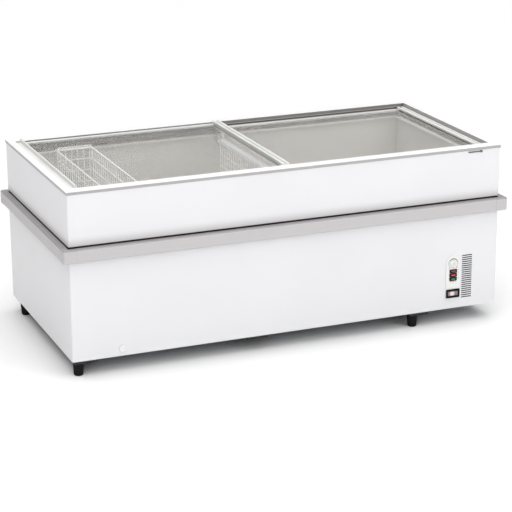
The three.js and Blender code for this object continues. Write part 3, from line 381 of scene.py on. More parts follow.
def clearGlass():
    material, tree, shader, coords = startMaterial("toughenedGlass", {"ior": 1.5})
    waves = addNode(tree, "ShaderNodeTexNoise", {"Vector": coords, "Scale": perMetre(180), "Detail": 1})
    smears = addNode(tree, "ShaderNodeTexNoise", {"Vector": coords, "Scale": perMetre(70), "Detail": 4})
    relief = addNode(tree, "ShaderNodeBump",
                     {"Height": waves.outputs["Fac"], "Distance": 0.02 * mm, "Strength": 1.0})
    gloss = addNode(tree, "ShaderNodeMapRange",
                    {"Value": smears.outputs["Fac"], "From Min": 0.45, "From Max": 0.8,
                     "To Min": 0.0, "To Max": 0.03})
    shader.inputs["Base Color"].default_value = linearColour("FDFEFE")
    shader.inputs["Transmission Weight"].default_value = 1.0
    tree.links.new(gloss.outputs["Result"], shader.inputs["Roughness"])
    tree.links.new(relief.outputs["Normal"], shader.inputs["Normal"])
    rays = addNode(tree, "ShaderNodeLightPath")
    passing = addNode(tree, "ShaderNodeMath",
                      {0: rays.outputs["Is Shadow Ray"], 1: rays.outputs["Is Diffuse Ray"]},
                      operation="MAXIMUM")
    leaving = addNode(tree, "ShaderNodeNewGeometry").outputs["Backfacing"]
    straight = addNode(tree, "ShaderNodeMath", {0: leaving, 1: glassSettings["clear"]},
                       operation="MAXIMUM")
    unbent = addNode(tree, "ShaderNodeMath", {0: 1.0, 1: rays.outputs["Is Transmission Ray"]},
                     operation="SUBTRACT")
    seen = addNode(tree, "ShaderNodeMath", {0: straight.outputs[0], 1: unbent.outputs[0]},
                   operation="MULTIPLY")
    share = addNode(tree, "ShaderNodeMath", {0: passing.outputs[0], 1: seen.outputs[0]},
                    operation="MAXIMUM")
    through = addNode(tree, "ShaderNodeBsdfTransparent", {"Color": linearColour("FDFEFE")})
    mixed = addNode(tree, "ShaderNodeMixShader", {
        0: share.outputs[0], 1: shader.outputs["BSDF"], 2: through.outputs["BSDF"]})
    tree.links.new(mixed.outputs["Shader"], tree.nodes["Material Output"].inputs["Surface"])
    return material


# Tinted polycarbonate lens, ribbed inside every 1.5 mm, lit faintly from behind.
def tintedLens(name, colour, shade, glow):
    material, tree, shader, coords = startMaterial(name, {"ior": 1.58, "coat": 0.6, "coatRoughness": 0.05})
    ribs = addNode(tree, "ShaderNodeTexWave", {"Vector": coords, "Scale": perMetre(1.5) / 6.28},
                   bands_direction="X")
    tint = addNode(tree, "ShaderNodeMixRGB", {
        "Fac": ribs.outputs["Fac"], "Color1": linearColour(shade), "Color2": linearColour(colour)})
    relief = addNode(tree, "ShaderNodeBump",
                     {"Height": ribs.outputs["Fac"], "Distance": 0.1 * mm, "Strength": 0.5})
    tree.links.new(tint.outputs["Color"], shader.inputs["Base Color"])
    tree.links.new(tint.outputs["Color"], shader.inputs["Emission Color"])
    tree.links.new(relief.outputs["Normal"], shader.inputs["Normal"])
    shader.inputs["Roughness"].default_value = 0.2
    shader.inputs["Emission Strength"].default_value = glow
    return material


# Display window: smoky acrylic with a pale pink lit patch left of its middle.
def displayGlass():
    material, tree, shader, coords = startMaterial("displayAcrylic", {"ior": 1.49, "coat": 0.5})
    low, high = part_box("display_window")
    middle = (low + high) / 2
    patch = Vector((middle.x - 4 * mm, middle.y, middle.z))
    away = addNode(tree, "ShaderNodeVectorMath", {0: coords, 1: tuple(patch)}, operation="DISTANCE")
    lit = addNode(tree, "ShaderNodeMapRange", {
        "Value": away.outputs["Value"], "From Min": 6 * mm, "From Max": 17 * mm,
        "To Min": 1.0, "To Max": 0.0}, interpolation_type="SMOOTHSTEP")
    mesh = addNode(tree, "ShaderNodeTexNoise", {"Vector": coords, "Scale": perMetre(3), "Detail": 2})
    smoke = addNode(tree, "ShaderNodeMixRGB", {
        "Fac": mesh.outputs["Fac"], "Color1": linearColour("6A6A6C"), "Color2": linearColour("7C7B7D")})
    colour = addNode(tree, "ShaderNodeMixRGB", {
        "Fac": lit.outputs["Result"], "Color1": smoke.outputs["Color"],
        "Color2": linearColour("EBCFD0")})
    tree.links.new(colour.outputs["Color"], shader.inputs["Base Color"])
    shader.inputs["Roughness"].default_value = 0.12
    return material


linerMaterial = stuccoLiner()
galvanised = galvanisedSheet()
foamMaterial = cutFoam()
glassMaterial = clearGlass()
lensRed = tintedLens("lensRed", "D8232B", "B0141C", 0.25)
lensDarkRed = tintedLens("lensDarkRed", "6E1A1E", "4A1014", 0.0)
lensGreen = tintedLens("lensGreen", "1E7A3C", "0E4A22", 0.05)
displayMaterial = displayGlass()
# Screen-printed grey ink on the control plate.
printedInk = finish("greyInk", {
    "colour": "3C3D3F", "shade": "343537", "cloud": 6, "grain": 0.6, "relief": 0.005, "rough": (0.4, 0.5)})
print("materials made:", len(bpy.data.materials))


# making pieces
def addPiece(name, mesh, material, body, replaced=()):
    piece = bpy.data.objects.new(name, mesh)
    scene.collection.objects.link(piece)
    mesh.materials.clear()
    mesh.materials.append(material)
    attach(piece, body)
    if replaced:
        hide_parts(*replaced)
    return piece


def meshFrom(bm, name, smooth=True):
    for face in bm.faces:
        face.smooth = smooth
    mesh = bpy.data.meshes.new(name)
    bm.to_mesh(mesh)
    bm.free()
    return mesh


def steadyNormals(piece):
    modifier = piece.modifiers.new("steadyNormals", "WEIGHTED_NORMAL")
    modifier.weight = 50
    modifier.keep_sharp = True


def sharpEdges(bm, angle):
    return [e for e in bm.edges if e.is_manifold and e.calc_face_angle(0) > math.radians(angle)]


def bevelEdges(bm, edges, width, segments=2):
    bmesh.ops.bevel(bm, geom=edges, offset=width * mm, offset_type="OFFSET", segments=segments,
                    profile=0.5, affect="EDGES", material=-1, clamp_overlap=True)


# A merged copy of a CAD node with its edges rounded by so many mm.
def softenNode(nodeName, material, width, angle=35):
    source = frame["nodes"][nodeName]
    bm = bmesh.new()
    bm.from_mesh(source.data)
    bmesh.ops.remove_doubles(bm, verts=bm.verts, dist=0.01 * mm)
    bmesh.ops.dissolve_limit(bm, angle_limit=math.radians(1), verts=bm.verts, edges=bm.edges)
    bevelEdges(bm, sharpEdges(bm, angle), width)
    piece = addPiece(nodeName + "_finished", meshFrom(bm, nodeName + "_finished"), material,
                     source["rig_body"], (nodeName,))
    steadyNormals(piece)
    return piece


# node: material, edge radius in mm; the casing, rim, lids, bumper, panel and tank that show
softened = {
    "upper_shell": (powderCoatUpper, 0.3),
    "lower_front_panel": (powderCoat, 0.3), "lower_rear_panel": (powderCoat, 0.3),
    "lower_left_panel": (powderCoat, 0.3), "lower_right_panel": (powderCoat, 0.3),
    "rim_front": (rimAlongX, 0.7), "rim_rear": (rimAlongX, 0.7),
    "rim_left": (rimAlongY, 0.7), "rim_right": (rimAlongY, 0.7),
    "left_lid_runner_front": (profileAlongX, 0.5), "left_lid_runner_rear": (profileAlongX, 0.5),
    "right_lid_runner_front": (profileAlongX, 0.5), "right_lid_runner_rear": (profileAlongX, 0.5),
    "left_lid_handle": (profileAlongY, 1.0), "left_lid_centre_grip": (profileAlongY, 1.0),
    "right_lid_handle": (profileAlongY, 1.0), "right_lid_seal_bar": (profileAlongY, 0.7),
    "left_lid_glass": (glassMaterial, 0.6), "right_lid_glass": (glassMaterial, 0.6),
    "throat_ring": (throatPvc, 0.5), "ledge_trim": (ledgePvc, 1.0), "tank_liner": (linerMaterial, 0.5),
    "bumper_front": (bumperAlongX, 0.9), "bumper_rear": (bumperAlongX, 0.9),
    "bumper_left": (bumperAlongY, 0.9), "bumper_right": (bumperAlongY, 0.9),
    "bumper_cap_front_left": (bumperMoulded, 0.8), "bumper_cap_front_right": (bumperMoulded, 0.8),
    "bumper_cap_rear_left": (bumperMoulded, 0.8), "bumper_cap_rear_right": (bumperMoulded, 0.8),
    "cross_rail_left": (blackCoat, 0.8), "cross_rail_middle": (blackCoat, 0.8),
    "cross_rail_right": (blackCoat, 0.8),
    "control_plate": (whiteAbs, 0.9), "display_bezel": (blackPp, 1.2),
    "display_window": (displayMaterial, 0.4), "mains_inlet": (blackPp, 0.6),
    "lock_lever": (brushedLever, 0.6), "drain_pipe": (pipePvc, 0.5), "tank_plug": (epdmRubber, 0.8),
    "compressor": (blackCoat, 1.5), "fan_motor": (galvanised, 1.0),
    "fan_blade": (millAluminium, 0.4), "filter_drier": (copperTube, 1.0),
    "base_pan": (galvanised, 0.4), "evaporator_coil": (copperTube, 2.0),
    "condenser": (blackCoat, 0.3),
}
for nodeName, (material, width) in softened.items():
    softenNode(nodeName, material, width)
print("CAD nodes finished:", len(softened))

# the foam never shows with the casing on, so it keeps its CAD mesh
frame["nodes"]["foam_insulation"].data.materials.clear()
frame["nodes"]["foam_insulation"].data.materials.append(foamMaterial)


# A path whose corners are turned through arcs, as a bending machine does.
def bentPath(points, radius, closed=False, steps=4):
    points = [Vector(p) for p in points]
    count = len(points)
    path = []
    for i, corner in enumerate(points):
        if not closed and i in (0, count - 1):
            path.append(corner)
            continue
        back = (points[i - 1] - corner).normalized()
        on = (points[(i + 1) % count] - corner).normalized()
        half = back.angle(on) / 2
        run = radius / math.tan(half)
        centre = corner + (back + on).normalized() * (radius / math.sin(half))
        start = corner + back * run - centre
        end = corner + on * run - centre
        path += [centre + start.slerp(end, k / steps) * radius for k in range(steps + 1)]
    return path


# Round wires of given diameters as one mesh. Each run is its points, its diameter and whether it closes.
def wireMesh(name, runs):
    curve = bpy.data.curves.new(name, "CURVE")
    curve.dimensions = "3D"
    curve.bevel_depth = 1.0
    curve.bevel_resolution = 1
    curve.use_fill_caps = True
    for points, diameter, closed in runs:
        spline = curve.splines.new("POLY")
        spline.points.add(len(points) - 1)
        for target, point in zip(spline.points, points):
            target.co = (*point, 1)
            target.radius = diameter / 2
        spline.use_cyclic_u = closed
    helper = bpy.data.objects.new(name, curve)
    scene.collection.objects.link(helper)
    bpy.context.view_layer.update()
    mesh = bpy.data.meshes.new_from_object(helper.evaluated_get(bpy.context.evaluated_depsgraph_get()))
    bpy.data.objects.remove(helper)
    mesh.name = name
    return mesh


def spread(low, high, pitch):
    count = max(1, round((high - low) / pitch))
    return [low + (high - low) * i / count for i in range(count + 1)]


# wire basket
basketSettings = {
    "rimWire": 8.0 * mm, "wallWire": 4.4 * mm, "loopWire": 5.0 * mm,
    "widthPitch": 28 * mm, "lengthPitch": 33 * mm, "hoopPitch": 50 * mm,
    "hookReach": 25 * mm, "hookSlope": 14 * mm, "hookSet": 3 * mm, "hookBend": 5 * mm, "hookInset": 2 * mm,
    "corner": 12 * mm, "wallCorner": 10 * mm,
    "loopInset": 5 * mm, "loopCorner": 7 * mm, "loopLeg": 62 * mm,
}


def wireBasket():
    s = basketSettings
    low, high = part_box("basket")
    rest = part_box("ledge_trim")[1].z + 0.3 * mm      # underside of the hooks, on the ledge
    rimRadius, wallRadius = s["rimWire"] / 2, s["wallWire"] / 2
    yBody = high.y - s["hookReach"]
    xLow, xHigh = low.x + rimRadius, high.x - rimRadius
    yLow, yHigh = -yBody + rimRadius, yBody - rimRadius
    zRim = rest + rimRadius
    bottom = low.z + wallRadius * 3
    rim = [(xLow, yLow, zRim), (xHigh, yLow, zRim), (xHigh, yHigh, zRim), (xLow, yHigh, zRim)]
    runs = [(bentPath(rim, s["corner"], True), s["rimWire"], True)]
    # U-shaped wires across the width, then along the length one wire thickness lower
    for y in spread(yLow + s["corner"], yHigh - s["corner"], s["lengthPitch"]):
        across = [(xLow, y, zRim), (xLow, y, bottom), (xHigh, y, bottom), (xHigh, y, zRim)]
        runs.append((bentPath(across, s["wallCorner"]), s["wallWire"], False))
    z = bottom - s["wallWire"]
    hook = high.y - wallRadius
    zHook = rest + wallRadius
    zBend = zRim - s["hookSlope"]
    for x in spread(xLow + s["corner"], xHigh - s["corner"], s["widthPitch"]):
        lengthwise = [(x, -hook, zHook), (x, yLow - s["hookSet"], zHook), (x, yLow, zBend), (x, yLow, z),
                      (x, yHigh, z), (x, yHigh, zBend), (x, yHigh + s["hookSet"], zHook), (x, hook, zHook)]
        runs.append((bentPath(lengthwise, s["hookBend"], False, 3), s["wallWire"], False))
    inset = s["wallWire"]
    for z in spread(bottom + s["hoopPitch"] / 2, zRim - s["hoopPitch"], s["hoopPitch"]):
        hoop = [(xLow + inset, yLow + inset, z), (xHigh - inset, yLow + inset, z),
                (xHigh - inset, yHigh - inset, z), (xLow + inset, yHigh - inset, z)]
        runs.append((bentPath(hoop, s["wallCorner"], True), s["wallWire"], True))
    # a wire along the hooks' tips and a carrying loop, on each side
    start, end = low.x + s["loopInset"], high.x - s["loopInset"]
    top, foot = high.z - s["loopWire"] / 2, zRim - s["loopLeg"]
    for side in (-1, 1):
        tips = [(low.x + s["hookInset"], side * hook, zHook), (high.x - s["hookInset"], side * hook, zHook)]
        runs.append((tips, s["wallWire"], False))
        y = side * (yBody - s["loopWire"] / 2)
        loop = [(start, y, foot), (start, y, top), (end, y, top), (end, y, foot)]
        runs.append((bentPath(loop, s["loopCorner"]), s["loopWire"], False))
    addPiece("wire_basket", wireMesh("wire_basket", runs), wireCoat, "hanging_basket",
             ("basket",))


wireBasket()

# tank divider: coated top rail, wire grid below and pairs of pegs at its ends
dividerSettings = {
    "railHeight": 20 * mm, "rounding": 3.0,
    "pegHeight": 21 * mm, "pegRadius": 6 * mm, "pegOffset": 8.5 * mm, "pegInset": 17 * mm, "pegSides": 20,
    "frameWire": 5 * mm, "frameInset": 4 * mm, "frameCorner": 12 * mm, "sunk": 1 * mm,
    "gridWire": 3.5 * mm, "uprightPitch": 30 * mm, "barPitch": 62 * mm,
}


def wireDivider():
    s = dividerSettings
    low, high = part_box("divider")
    x = (low.x + high.x) / 2
    railTop = high.z - s["pegHeight"]
    bm = bmesh.new()
    bmesh.ops.create_cube(bm, size=1, matrix=Matrix.LocRotScale(
        Vector((x, 0, railTop - s["railHeight"] / 2)), None,
        Vector((high.x - low.x, high.y - low.y, s["railHeight"]))))
    bevelEdges(bm, bm.edges[:], s["rounding"], 3)
    height = s["pegHeight"] + s["sunk"]
    for side in (-1, 1):
        for offset in (-1, 1):
            place = Vector((x + offset * s["pegOffset"], side * (high.y - s["pegInset"]),
                            high.z - height / 2))
            peg = bmesh.ops.create_cone(bm, cap_ends=True, segments=s["pegSides"],
                                        radius1=s["pegRadius"], radius2=s["pegRadius"], depth=height,
                                        matrix=Matrix.Translation(place))["verts"]
            tip = [e for e in bm.edges if e.verts[0] in peg and e.verts[1] in peg
                   and min(v.co.z for v in e.verts) > high.z - 0.1 * mm]
            bevelEdges(bm, tip, s["rounding"], 4)
    rail = addPiece("divider_rail", meshFrom(bm, "divider_rail"), whiteAbs, "tank_divider",
                    ("divider",))
    steadyNormals(rail)
    frameRadius = s["frameWire"] / 2
    yEnd = high.y - s["frameInset"] - frameRadius
    bottom = low.z + frameRadius
    top = railTop - s["railHeight"] + 2 * s["sunk"]
    outer = [(x, -yEnd, top), (x, -yEnd, bottom), (x, yEnd, bottom), (x, yEnd, top)]
    runs = [(bentPath(outer, s["frameCorner"]), s["frameWire"], False)]
    runs += [([(x, y, bottom), (x, y, top)], s["gridWire"], False)
             for y in spread(-yEnd, yEnd, s["uprightPitch"])[1:-1]]
    runs += [([(x, -yEnd, z), (x, yEnd, z)], s["gridWire"], False)
             for z in spread(bottom, top, s["barPitch"])[1:-1]]
    addPiece("divider_grid", wireMesh("divider_grid", runs), wireCoat, "tank_divider")


wireDivider()
print("basket and divider made")


# A closed turned shape about Z from points of radius and height in mm, moved into place.
def turnedShape(bm, profile, place, steps=40):
    verts = [bm.verts.new((r * mm, 0, h * mm)) for r, h in profile]
    edges = [bm.edges.new(pair) for pair in zip(verts, verts[1:])]
    bmesh.ops.spin(bm, geom=verts + edges, axis=(0, 0, 1), cent=(0, 0, 0), steps=steps, angle=math.tau,
                   use_merge=True)
    bmesh.ops.remove_doubles(bm, verts=bm.verts, dist=0.005 * mm)
    bmesh.ops.recalc_face_normals(bm, faces=bm.faces)
    bmesh.ops.transform(bm, matrix=place, verts=bm.verts)


# levelling feet: tapered, ribbed from top to bottom, with a rounded sole
footSettings = {"topRadius": 24.8, "soleRadius": 21, "rounding": 6, "shoulder": 1.5, "ribs": 30, "rib": 1.1,
                "depth": 1.2, "leastFlank": 100, "stud": 5, "studLength": 11, "studSides": 24}


def levellingFoot(nodeName):
    s = footSettings
    low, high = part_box(nodeName)
    height = (high.z - low.z) / mm - s["studLength"]
    centre = Vector(((low.x + high.x) / 2, (low.y + high.y) / 2, low.z))
    bm = bmesh.new()
    bmesh.ops.create_cone(bm, cap_ends=True, segments=s["ribs"], radius1=s["soleRadius"] * mm,
                          radius2=s["topRadius"] * mm, depth=height * mm,
                          matrix=Matrix.Translation(centre + Vector((0, 0, height * mm / 2))))
    sole = [e for e in bm.edges if max(v.co.z for v in e.verts) < low.z + 0.1 * mm]
    shoulder = [e for e in bm.edges if min(v.co.z for v in e.verts) > low.z + (height - 0.1) * mm]
    bevelEdges(bm, sole, s["rounding"], 4)
    bevelEdges(bm, [e for e in shoulder if e.is_valid], s["shoulder"], 2)
    flanks = [f for f in bm.faces if len(f.verts) == 4 and f.calc_area() > s["leastFlank"] * mm * mm]
    bmesh.ops.inset_individual(bm, faces=flanks, thickness=s["rib"] * mm, depth=-s["depth"] * mm)
    studMiddle = centre + Vector((0, 0, (height + s["studLength"] / 2) * mm))
    bmesh.ops.create_cone(bm, cap_ends=True, segments=s["studSides"], radius1=s["stud"] * mm,
                          radius2=s["stud"] * mm, depth=s["studLength"] * mm,
                          matrix=Matrix.Translation(studMiddle))
    piece = addPiece(nodeName + "_ribbed", meshFrom(bm, nodeName + "_ribbed"), blackPp, "cabinet",
                     (nodeName,))
    steadyNormals(piece)


for corner in ("front_left", "front_right", "rear_left", "rear_right"):
    levellingFoot("foot_" + corner)

# thermostat knob: skirted disc with a raised finger bar, and a thin pointer line on the bar
knobSettings = {"skirt": 17, "disc": 7, "shaft": 4, "shaftLength": 12, "bar": 6.4, "barLength": 26,
                "barEdge": 1.6, "sunk": 2, "height": 14.8, "pointer": 1.2, "pointerLength": 9, "pointerAt": 4,
                "ink": 0.3}


def thermostatKnob():
    s = knobSettings
    low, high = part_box("thermostat_knob")
    centre = Vector(((low.x + high.x) / 2, high.y - s["shaftLength"] * mm, (low.z + high.z) / 2))
    place = Matrix.Translation(centre) @ towardsFront
    bm = bmesh.new()
    turnedShape(bm, [(0, -s["shaftLength"]), (s["shaft"], -s["shaftLength"]), (s["shaft"], 0),
                     (s["skirt"] - 0.6, 0), (s["skirt"], 0.6), (s["skirt"], 2.2), (s["skirt"] - 1.2, 3.4),
                     (s["skirt"] - 2.0, s["disc"] - 1.2), (s["skirt"] - 3.2, s["disc"]), (0, s["disc"])],
                place, 56)
    bar = bmesh.new()
    depth = s["height"] - s["disc"] + s["sunk"]
    bmesh.ops.create_cube(bar, size=1, matrix=place @ Matrix.LocRotScale(
        Vector((0, 0, (s["height"] - depth / 2) * mm)), None,
        Vector((s["bar"], s["barLength"], depth)) * mm))
    bevelEdges(bar, bar.edges[:], s["barEdge"], 3)
    barMesh = meshFrom(bar, "knobBar")
    bm.from_mesh(barMesh)
    piece = addPiece("thermostat_dial_knob", meshFrom(bm, "thermostat_dial_knob"), whiteAbs, "thermostat",
                     ("thermostat_knob",))
    steadyNormals(piece)
    mark = bmesh.new()
    bmesh.ops.create_cube(mark, size=1, matrix=place @ Matrix.LocRotScale(
        Vector((0, s["pointerAt"], s["height"])) * mm, None,
        Vector((s["pointer"], s["pointerLength"], s["ink"])) * mm))
    bevelEdges(mark, mark.edges[:], 0.1, 1)
    addPiece("knob_pointer", meshFrom(mark, "knob_pointer"), printedInk, "thermostat")


thermostatKnob()

# printed marks on the control plate: a scale round the knob that swells towards its top, end ticks,
# four small plain signs beside the lamps and a rule under them
scaleSettings = {"radius": 24.5, "thin": 1.0, "swell": 3.2, "sweep": 270, "steps": 60, "ink": 0.12,
                 "sunk": 0.05, "tick": 5.0, "tickOutset": 2.4, "rule": 34, "ruleWidth": 0.9, "ruleDrop": 33,
                 "signOffset": 27, "signSize": 2.2, "signs": ((4, 24), (16, 10), (3, -4), (16, -18))}


def printedMarks():
    s = scaleSettings
    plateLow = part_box("control_plate")[0]
    knobLow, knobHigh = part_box("thermostat_knob")
    x, zKnob = (knobLow.x + knobHigh.x) / 2, (knobLow.z + knobHigh.z) / 2
    y = plateLow.y + s["sunk"] * mm
    bm = bmesh.new()
    arc = Matrix.Translation((x, y, zKnob)) @ towardsFront
    steps, half = s["steps"], math.radians(s["sweep"] / 2)
    rings = []
    for i in range(steps + 1):
        angle = -half + 2 * half * i / steps
        width = s["thin"] + s["swell"] * math.cos(angle / 2) ** 6
        direction = Vector((math.sin(angle), math.cos(angle), 0))
        rings.append([bm.verts.new(direction * (s["radius"] + width * k) * mm) for k in (-0.5, 0.5)])
    for first, second in zip(rings, rings[1:]):
        bm.faces.new((first[0], first[1], second[1], second[0]))
    for side in (-1, 1):
        turn = Matrix.Rotation(-side * half, 4, "Z")
        out = Matrix.Translation((0, (s["radius"] + s["tickOutset"]) * mm, 0))
        bmesh.ops.create_circle(bm, cap_ends=True, segments=4, radius=s["tick"] / 2 * mm, matrix=turn @ out)
    bmesh.ops.transform(bm, matrix=arc, verts=bm.verts)
    lampLow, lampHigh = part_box("indicator_housing")
    zLamps = (lampLow.z + lampHigh.z) / 2
    for i, (segments, rise) in enumerate(s["signs"]):   # corners of each sign, and height from the middle
        place = Matrix.Translation((x + s["signOffset"] * mm, y, zLamps + rise * mm))
        bmesh.ops.create_circle(bm, cap_ends=True, segments=segments, radius=s["signSize"] * mm,
                                matrix=place @ towardsFront @ Matrix.Rotation(math.radians(90 * i), 4, "Z"))
    place = Matrix.Translation((x, y, zLamps - s["ruleDrop"] * mm)) @ towardsFront
    bmesh.ops.create_grid(bm, x_segments=1, y_segments=1, size=0.5, matrix=place @ Matrix.Diagonal(
        (s["rule"] * mm, s["ruleWidth"] * mm, 1, 1)))
    raised = bmesh.ops.extrude_face_region(bm, geom=bm.faces[:])["geom"]
    bmesh.ops.translate(bm, verts=[v for v in raised if isinstance(v, bmesh.types.BMVert)],
                        vec=(0, -s["ink"] * mm, 0))
    bmesh.ops.recalc_face_normals(bm, faces=bm.faces)
    addPiece("panel_marks", meshFrom(bm, "panel_marks", False), printedInk, "cabinet")


printedMarks()

# three black lamp bezels on a white carrier, with domed lenses; the top one is a rocker
lampSettings = {"width": 38, "height": 17.6, "proud": 4, "corner": 3.2, "lip": 6.4, "lipHigh": 4.2,
                "sunk": 3, "recess": 5.5, "carrierMargin": (1.6, 1.0), "carrierThickness": 1.2,
                "lensDepth": 5, "lensCorner": 1.6, "lensRim": 1.6, "lensCrown": 0.2}


def roundedBlock(bm, centre, size, corner, edge=0.6):
    made = bmesh.ops.create_cube(bm, size=1, matrix=Matrix.LocRotScale(centre, None, size))["verts"]
    own = set(made)
    along = [e for e in bm.edges if own >= set(e.verts)
             and abs(e.verts[0].co.y - e.verts[1].co.y) > size.y * 0.5]
    before = set(bm.verts) - own
    bevelEdges(bm, along, corner, 4)
    front = centre.y - size.y / 2
    rim = [e for e in bm.edges if not (set(e.verts) & before)
           and max(abs(v.co.y - front) for v in e.verts) < 0.01 * mm]
    bevelEdges(bm, rim, edge, 2)
    return [f for f in bm.faces if not (set(f.verts) & before)
            and abs(f.normal.y + 1) < 0.01 and f.calc_area() > size.x * size.z * 0.4]


def lampBezels():
    s = lampSettings
    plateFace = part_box("control_plate")[0].y
    low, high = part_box("indicator_housing")
    x = (low.x + high.x) / 2
    middles = [(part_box(n)[0].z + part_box(n)[1].z) / 2 for n in ("lamp_green", "lamp_red", "switch_rocker")]
    bm = bmesh.new()
    for z in middles:
        size = Vector((s["width"], s["proud"] + s["sunk"], s["height"])) * mm
        centre = Vector((x, plateFace - s["proud"] * mm + size.y / 2, z))
        front = roundedBlock(bm, centre, size, s["corner"])
        bm.normal_update()
        bmesh.ops.inset_region(bm, faces=front, thickness=s["lipHigh"] * mm, use_even_offset=True)
        bmesh.ops.scale(bm, verts=list({v for f in front for v in f.verts}),
                        vec=((s["width"] - 2 * s["lip"]) / (s["width"] - 2 * s["lipHigh"]), 1, 1),
                        space=Matrix.Translation((-x, 0, 0)))
        made = bmesh.ops.extrude_face_region(bm, geom=front)["geom"]
        sunk = [v for v in made if isinstance(v, bmesh.types.BMVert)]
        bmesh.ops.translate(bm, verts=sunk, vec=(0, s["recess"] * mm, 0))
        bmesh.ops.delete(bm, geom=[f for f in front if f.is_valid], context="FACES_ONLY")
    bmesh.ops.recalc_face_normals(bm, faces=bm.faces)
    piece = addPiece("lamp_bezels", meshFrom(bm, "lamp_bezels"), blackPp, "cabinet",
                     ("indicator_housing",))
    steadyNormals(piece)
    carrier = bmesh.new()
    narrower, lower = s["carrierMargin"]
    thickness = s["carrierThickness"] * mm
    bmesh.ops.create_cube(carrier, size=1, matrix=Matrix.LocRotScale(
        Vector((x, plateFace - thickness / 3, (low.z + high.z) / 2)), None,
        Vector(((s["width"] - narrower) * mm, thickness, high.z - low.z - lower * mm))))
    bevelEdges(carrier, carrier.edges[:], 0.3, 2)
    steadyNormals(addPiece("lamp_carrier", meshFrom(carrier, "lamp_carrier"), whiteAbs, "cabinet"))


def domedLens(nodeName, name, material, body, inset=2.6):
    s = lampSettings
    low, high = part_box(nodeName)
    size = high - low - Vector((2 * inset, 0, 2 * inset)) * mm
    size.y = s["lensDepth"] * mm
    centre = (low + high) / 2
    centre.y = low.y + size.y / 2 + s["lensCrown"] * mm
    bm = bmesh.new()
    front = roundedBlock(bm, centre, size, s["lensCorner"], 0.5)
    bm.normal_update()
    bmesh.ops.inset_region(bm, faces=front, thickness=s["lensRim"] * mm, use_even_offset=True)
    crown = list({v for f in front for v in f.verts})
    bmesh.ops.translate(bm, verts=crown, vec=(0, -s["lensCrown"] * mm, 0))
    bmesh.ops.recalc_face_normals(bm, faces=bm.faces)
    piece = addPiece(name, meshFrom(bm, name), material, body, (nodeName,))
    steadyNormals(piece)


lampBezels()
domedLens("lamp_red", "lamp_red_lens", lensRed, "cabinet")
domedLens("lamp_green", "lamp_green_lens", lensGreen, "cabinet")
softenNode("switch_rocker", lensDarkRed, 0.5, 20)
print("control panel made")

# drain cap with a shallow finger dimple
drainSettings = {"stem": 10.4, "stemLength": 16, "cap": 17, "face": 22, "dimple": 7.5}


def drainCap():
    s = drainSettings
    low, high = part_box("drain_cap")
    centre = Vector(((low.x + high.x) / 2, high.y, (low.z + high.z) / 2))
    bm = bmesh.new()
    turnedShape(bm, [(0, 0), (s["stem"] - 1, 0), (s["stem"], 1), (s["stem"], s["stemLength"]),
                     (s["cap"] - 0.4, s["stemLength"]), (s["cap"], s["stemLength"] + 0.5),
                     (s["cap"] - 0.2, s["face"] - 2.2), (s["cap"] - 1.2, s["face"] - 0.6),
                     (s["cap"] - 3, s["face"]), (s["dimple"] + 0.8, s["face"]),
                     (s["dimple"], s["face"] - 0.4), (s["dimple"] * 0.6, s["face"] - 1.6),
                     (0, s["face"] - 2.0)],
                Matrix.Translation(centre) @ towardsFront, 48)
    steadyNormals(addPiece("drain_cap_turned", meshFrom(bm, "drain_cap_turned"), whiteAbs,
                           "drain_closure", ("drain_cap",)))


drainCap()

# black EPDM strip in the joint above the bumper, set back behind the casing's face; its black also stands in
# for the shadow in the joint
stripSettings = {"inset": 2.6, "thickness": 3.4, "clearance": 0.5, "corner": 6}


def jointStrip():
    s = stripSettings
    shellLow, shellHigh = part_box("upper_shell")
    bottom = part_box("lower_front_panel")[1].z + s["clearance"] * mm
    top = shellLow.z - s["clearance"] * mm
    size = Vector((shellHigh.x - shellLow.x - 2 * s["inset"] * mm,
                   shellHigh.y - shellLow.y - 2 * s["inset"] * mm, top - bottom))
    bm = bmesh.new()
    bmesh.ops.create_cube(bm, size=1, matrix=Matrix.LocRotScale(
        Vector((0, 0, (top + bottom) / 2)), None, size))
    bmesh.ops.delete(bm, geom=[f for f in bm.faces if abs(f.normal.z) > 0.5], context="FACES_ONLY")
    upright = [e for e in bm.edges if abs(e.verts[0].co.z - e.verts[1].co.z) > 0.1 * mm]
    bevelEdges(bm, upright, s["corner"], 4)
    bmesh.ops.recalc_face_normals(bm, faces=bm.faces)
    bmesh.ops.solidify(bm, geom=bm.faces[:], thickness=s["thickness"] * mm)
    addPiece("joint_shadow_strip", meshFrom(bm, "joint_shadow_strip", False), epdmRubber, "cabinet")


jointStrip()

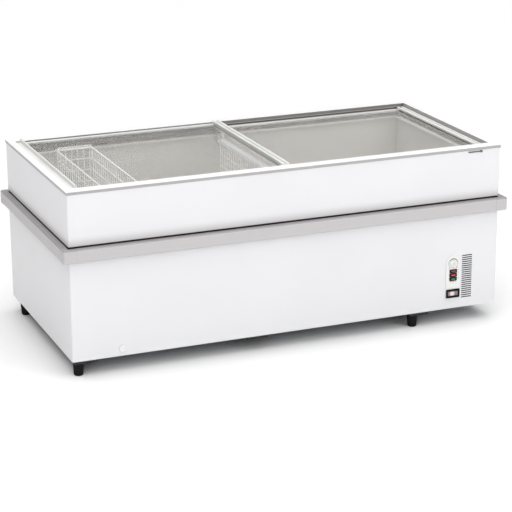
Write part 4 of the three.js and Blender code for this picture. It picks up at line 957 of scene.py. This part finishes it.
# socket-head screws: two on the side of each bumper cap
screwSettings = {"radius": 3.4, "height": 1.4, "socket": 1.5, "socketDepth": 1.0,
                 "fromEnd": 30, "fromTop": (17, 42)}


def socketScrew(bm, place):
    s = screwSettings
    made = bmesh.new()
    turnedShape(made, [(0, -1.5), (1.6, -1.5), (1.6, 0), (s["radius"], 0), (s["radius"], s["height"] * 0.4),
                       (s["radius"] * 0.85, s["height"] * 0.85), (s["radius"] * 0.6, s["height"]),
                       (s["socket"], s["height"]), (s["socket"], s["height"] - s["socketDepth"]),
                       (0, s["height"] - s["socketDepth"])], place, 18)
    mesh = meshFrom(made, "screw")
    bm.from_mesh(mesh)
    bpy.data.meshes.remove(mesh)


# Moves a cap's end face in by a screw head's height, with its rounded edges, and gives its new place.
def setBackCap(name, side, reach):
    depth = screwSettings["height"] * mm
    for vertex in bpy.data.objects[name + "_finished"].data.vertices:
        if abs(vertex.co.x - reach) < softened[name][1] * mm + 0.1 * mm:
            vertex.co.x -= side * depth
    return reach - side * depth


def capScrews():
    s = screwSettings
    bm = bmesh.new()
    for end, side in (("left", -1), ("right", 1)):
        for face in ("front", "rear"):
            capName = "bumper_cap_" + face + "_" + end
            low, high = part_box(capName)
            sideX = setBackCap(capName, side, low.x if side < 0 else high.x)
            turn = Matrix.Rotation(math.radians(90 * side), 4, "Y")
            y = low.y + s["fromEnd"] * mm if face == "front" else high.y - s["fromEnd"] * mm
            for drop in s["fromTop"]:
                socketScrew(bm, Matrix.Translation((sideX, y, high.z - drop * mm)) @ turn)
    addPiece("bumper_cap_screws", meshFrom(bm, "bumper_cap_screws"), zincSteel, "cabinet")


capScrews()
print("drain cap, joint strip and screws made")


def layFloor():
    bm = bmesh.new()
    bmesh.ops.create_grid(bm, x_segments=1, y_segments=1, size=40)
    floor = bpy.data.objects.new("floor", meshFrom(bm, "floor"))
    scene.collection.objects.link(floor)
    floor.data.materials.append(finish("paleFloor", {
        "colour": "EAEAEA", "shade": "E8E8E8", "cloud": 900, "grain": 40, "relief": 0.02,
        "rough": (0.7, 0.8), "ior": 1.4}))


layFloor()
print("scene finished")
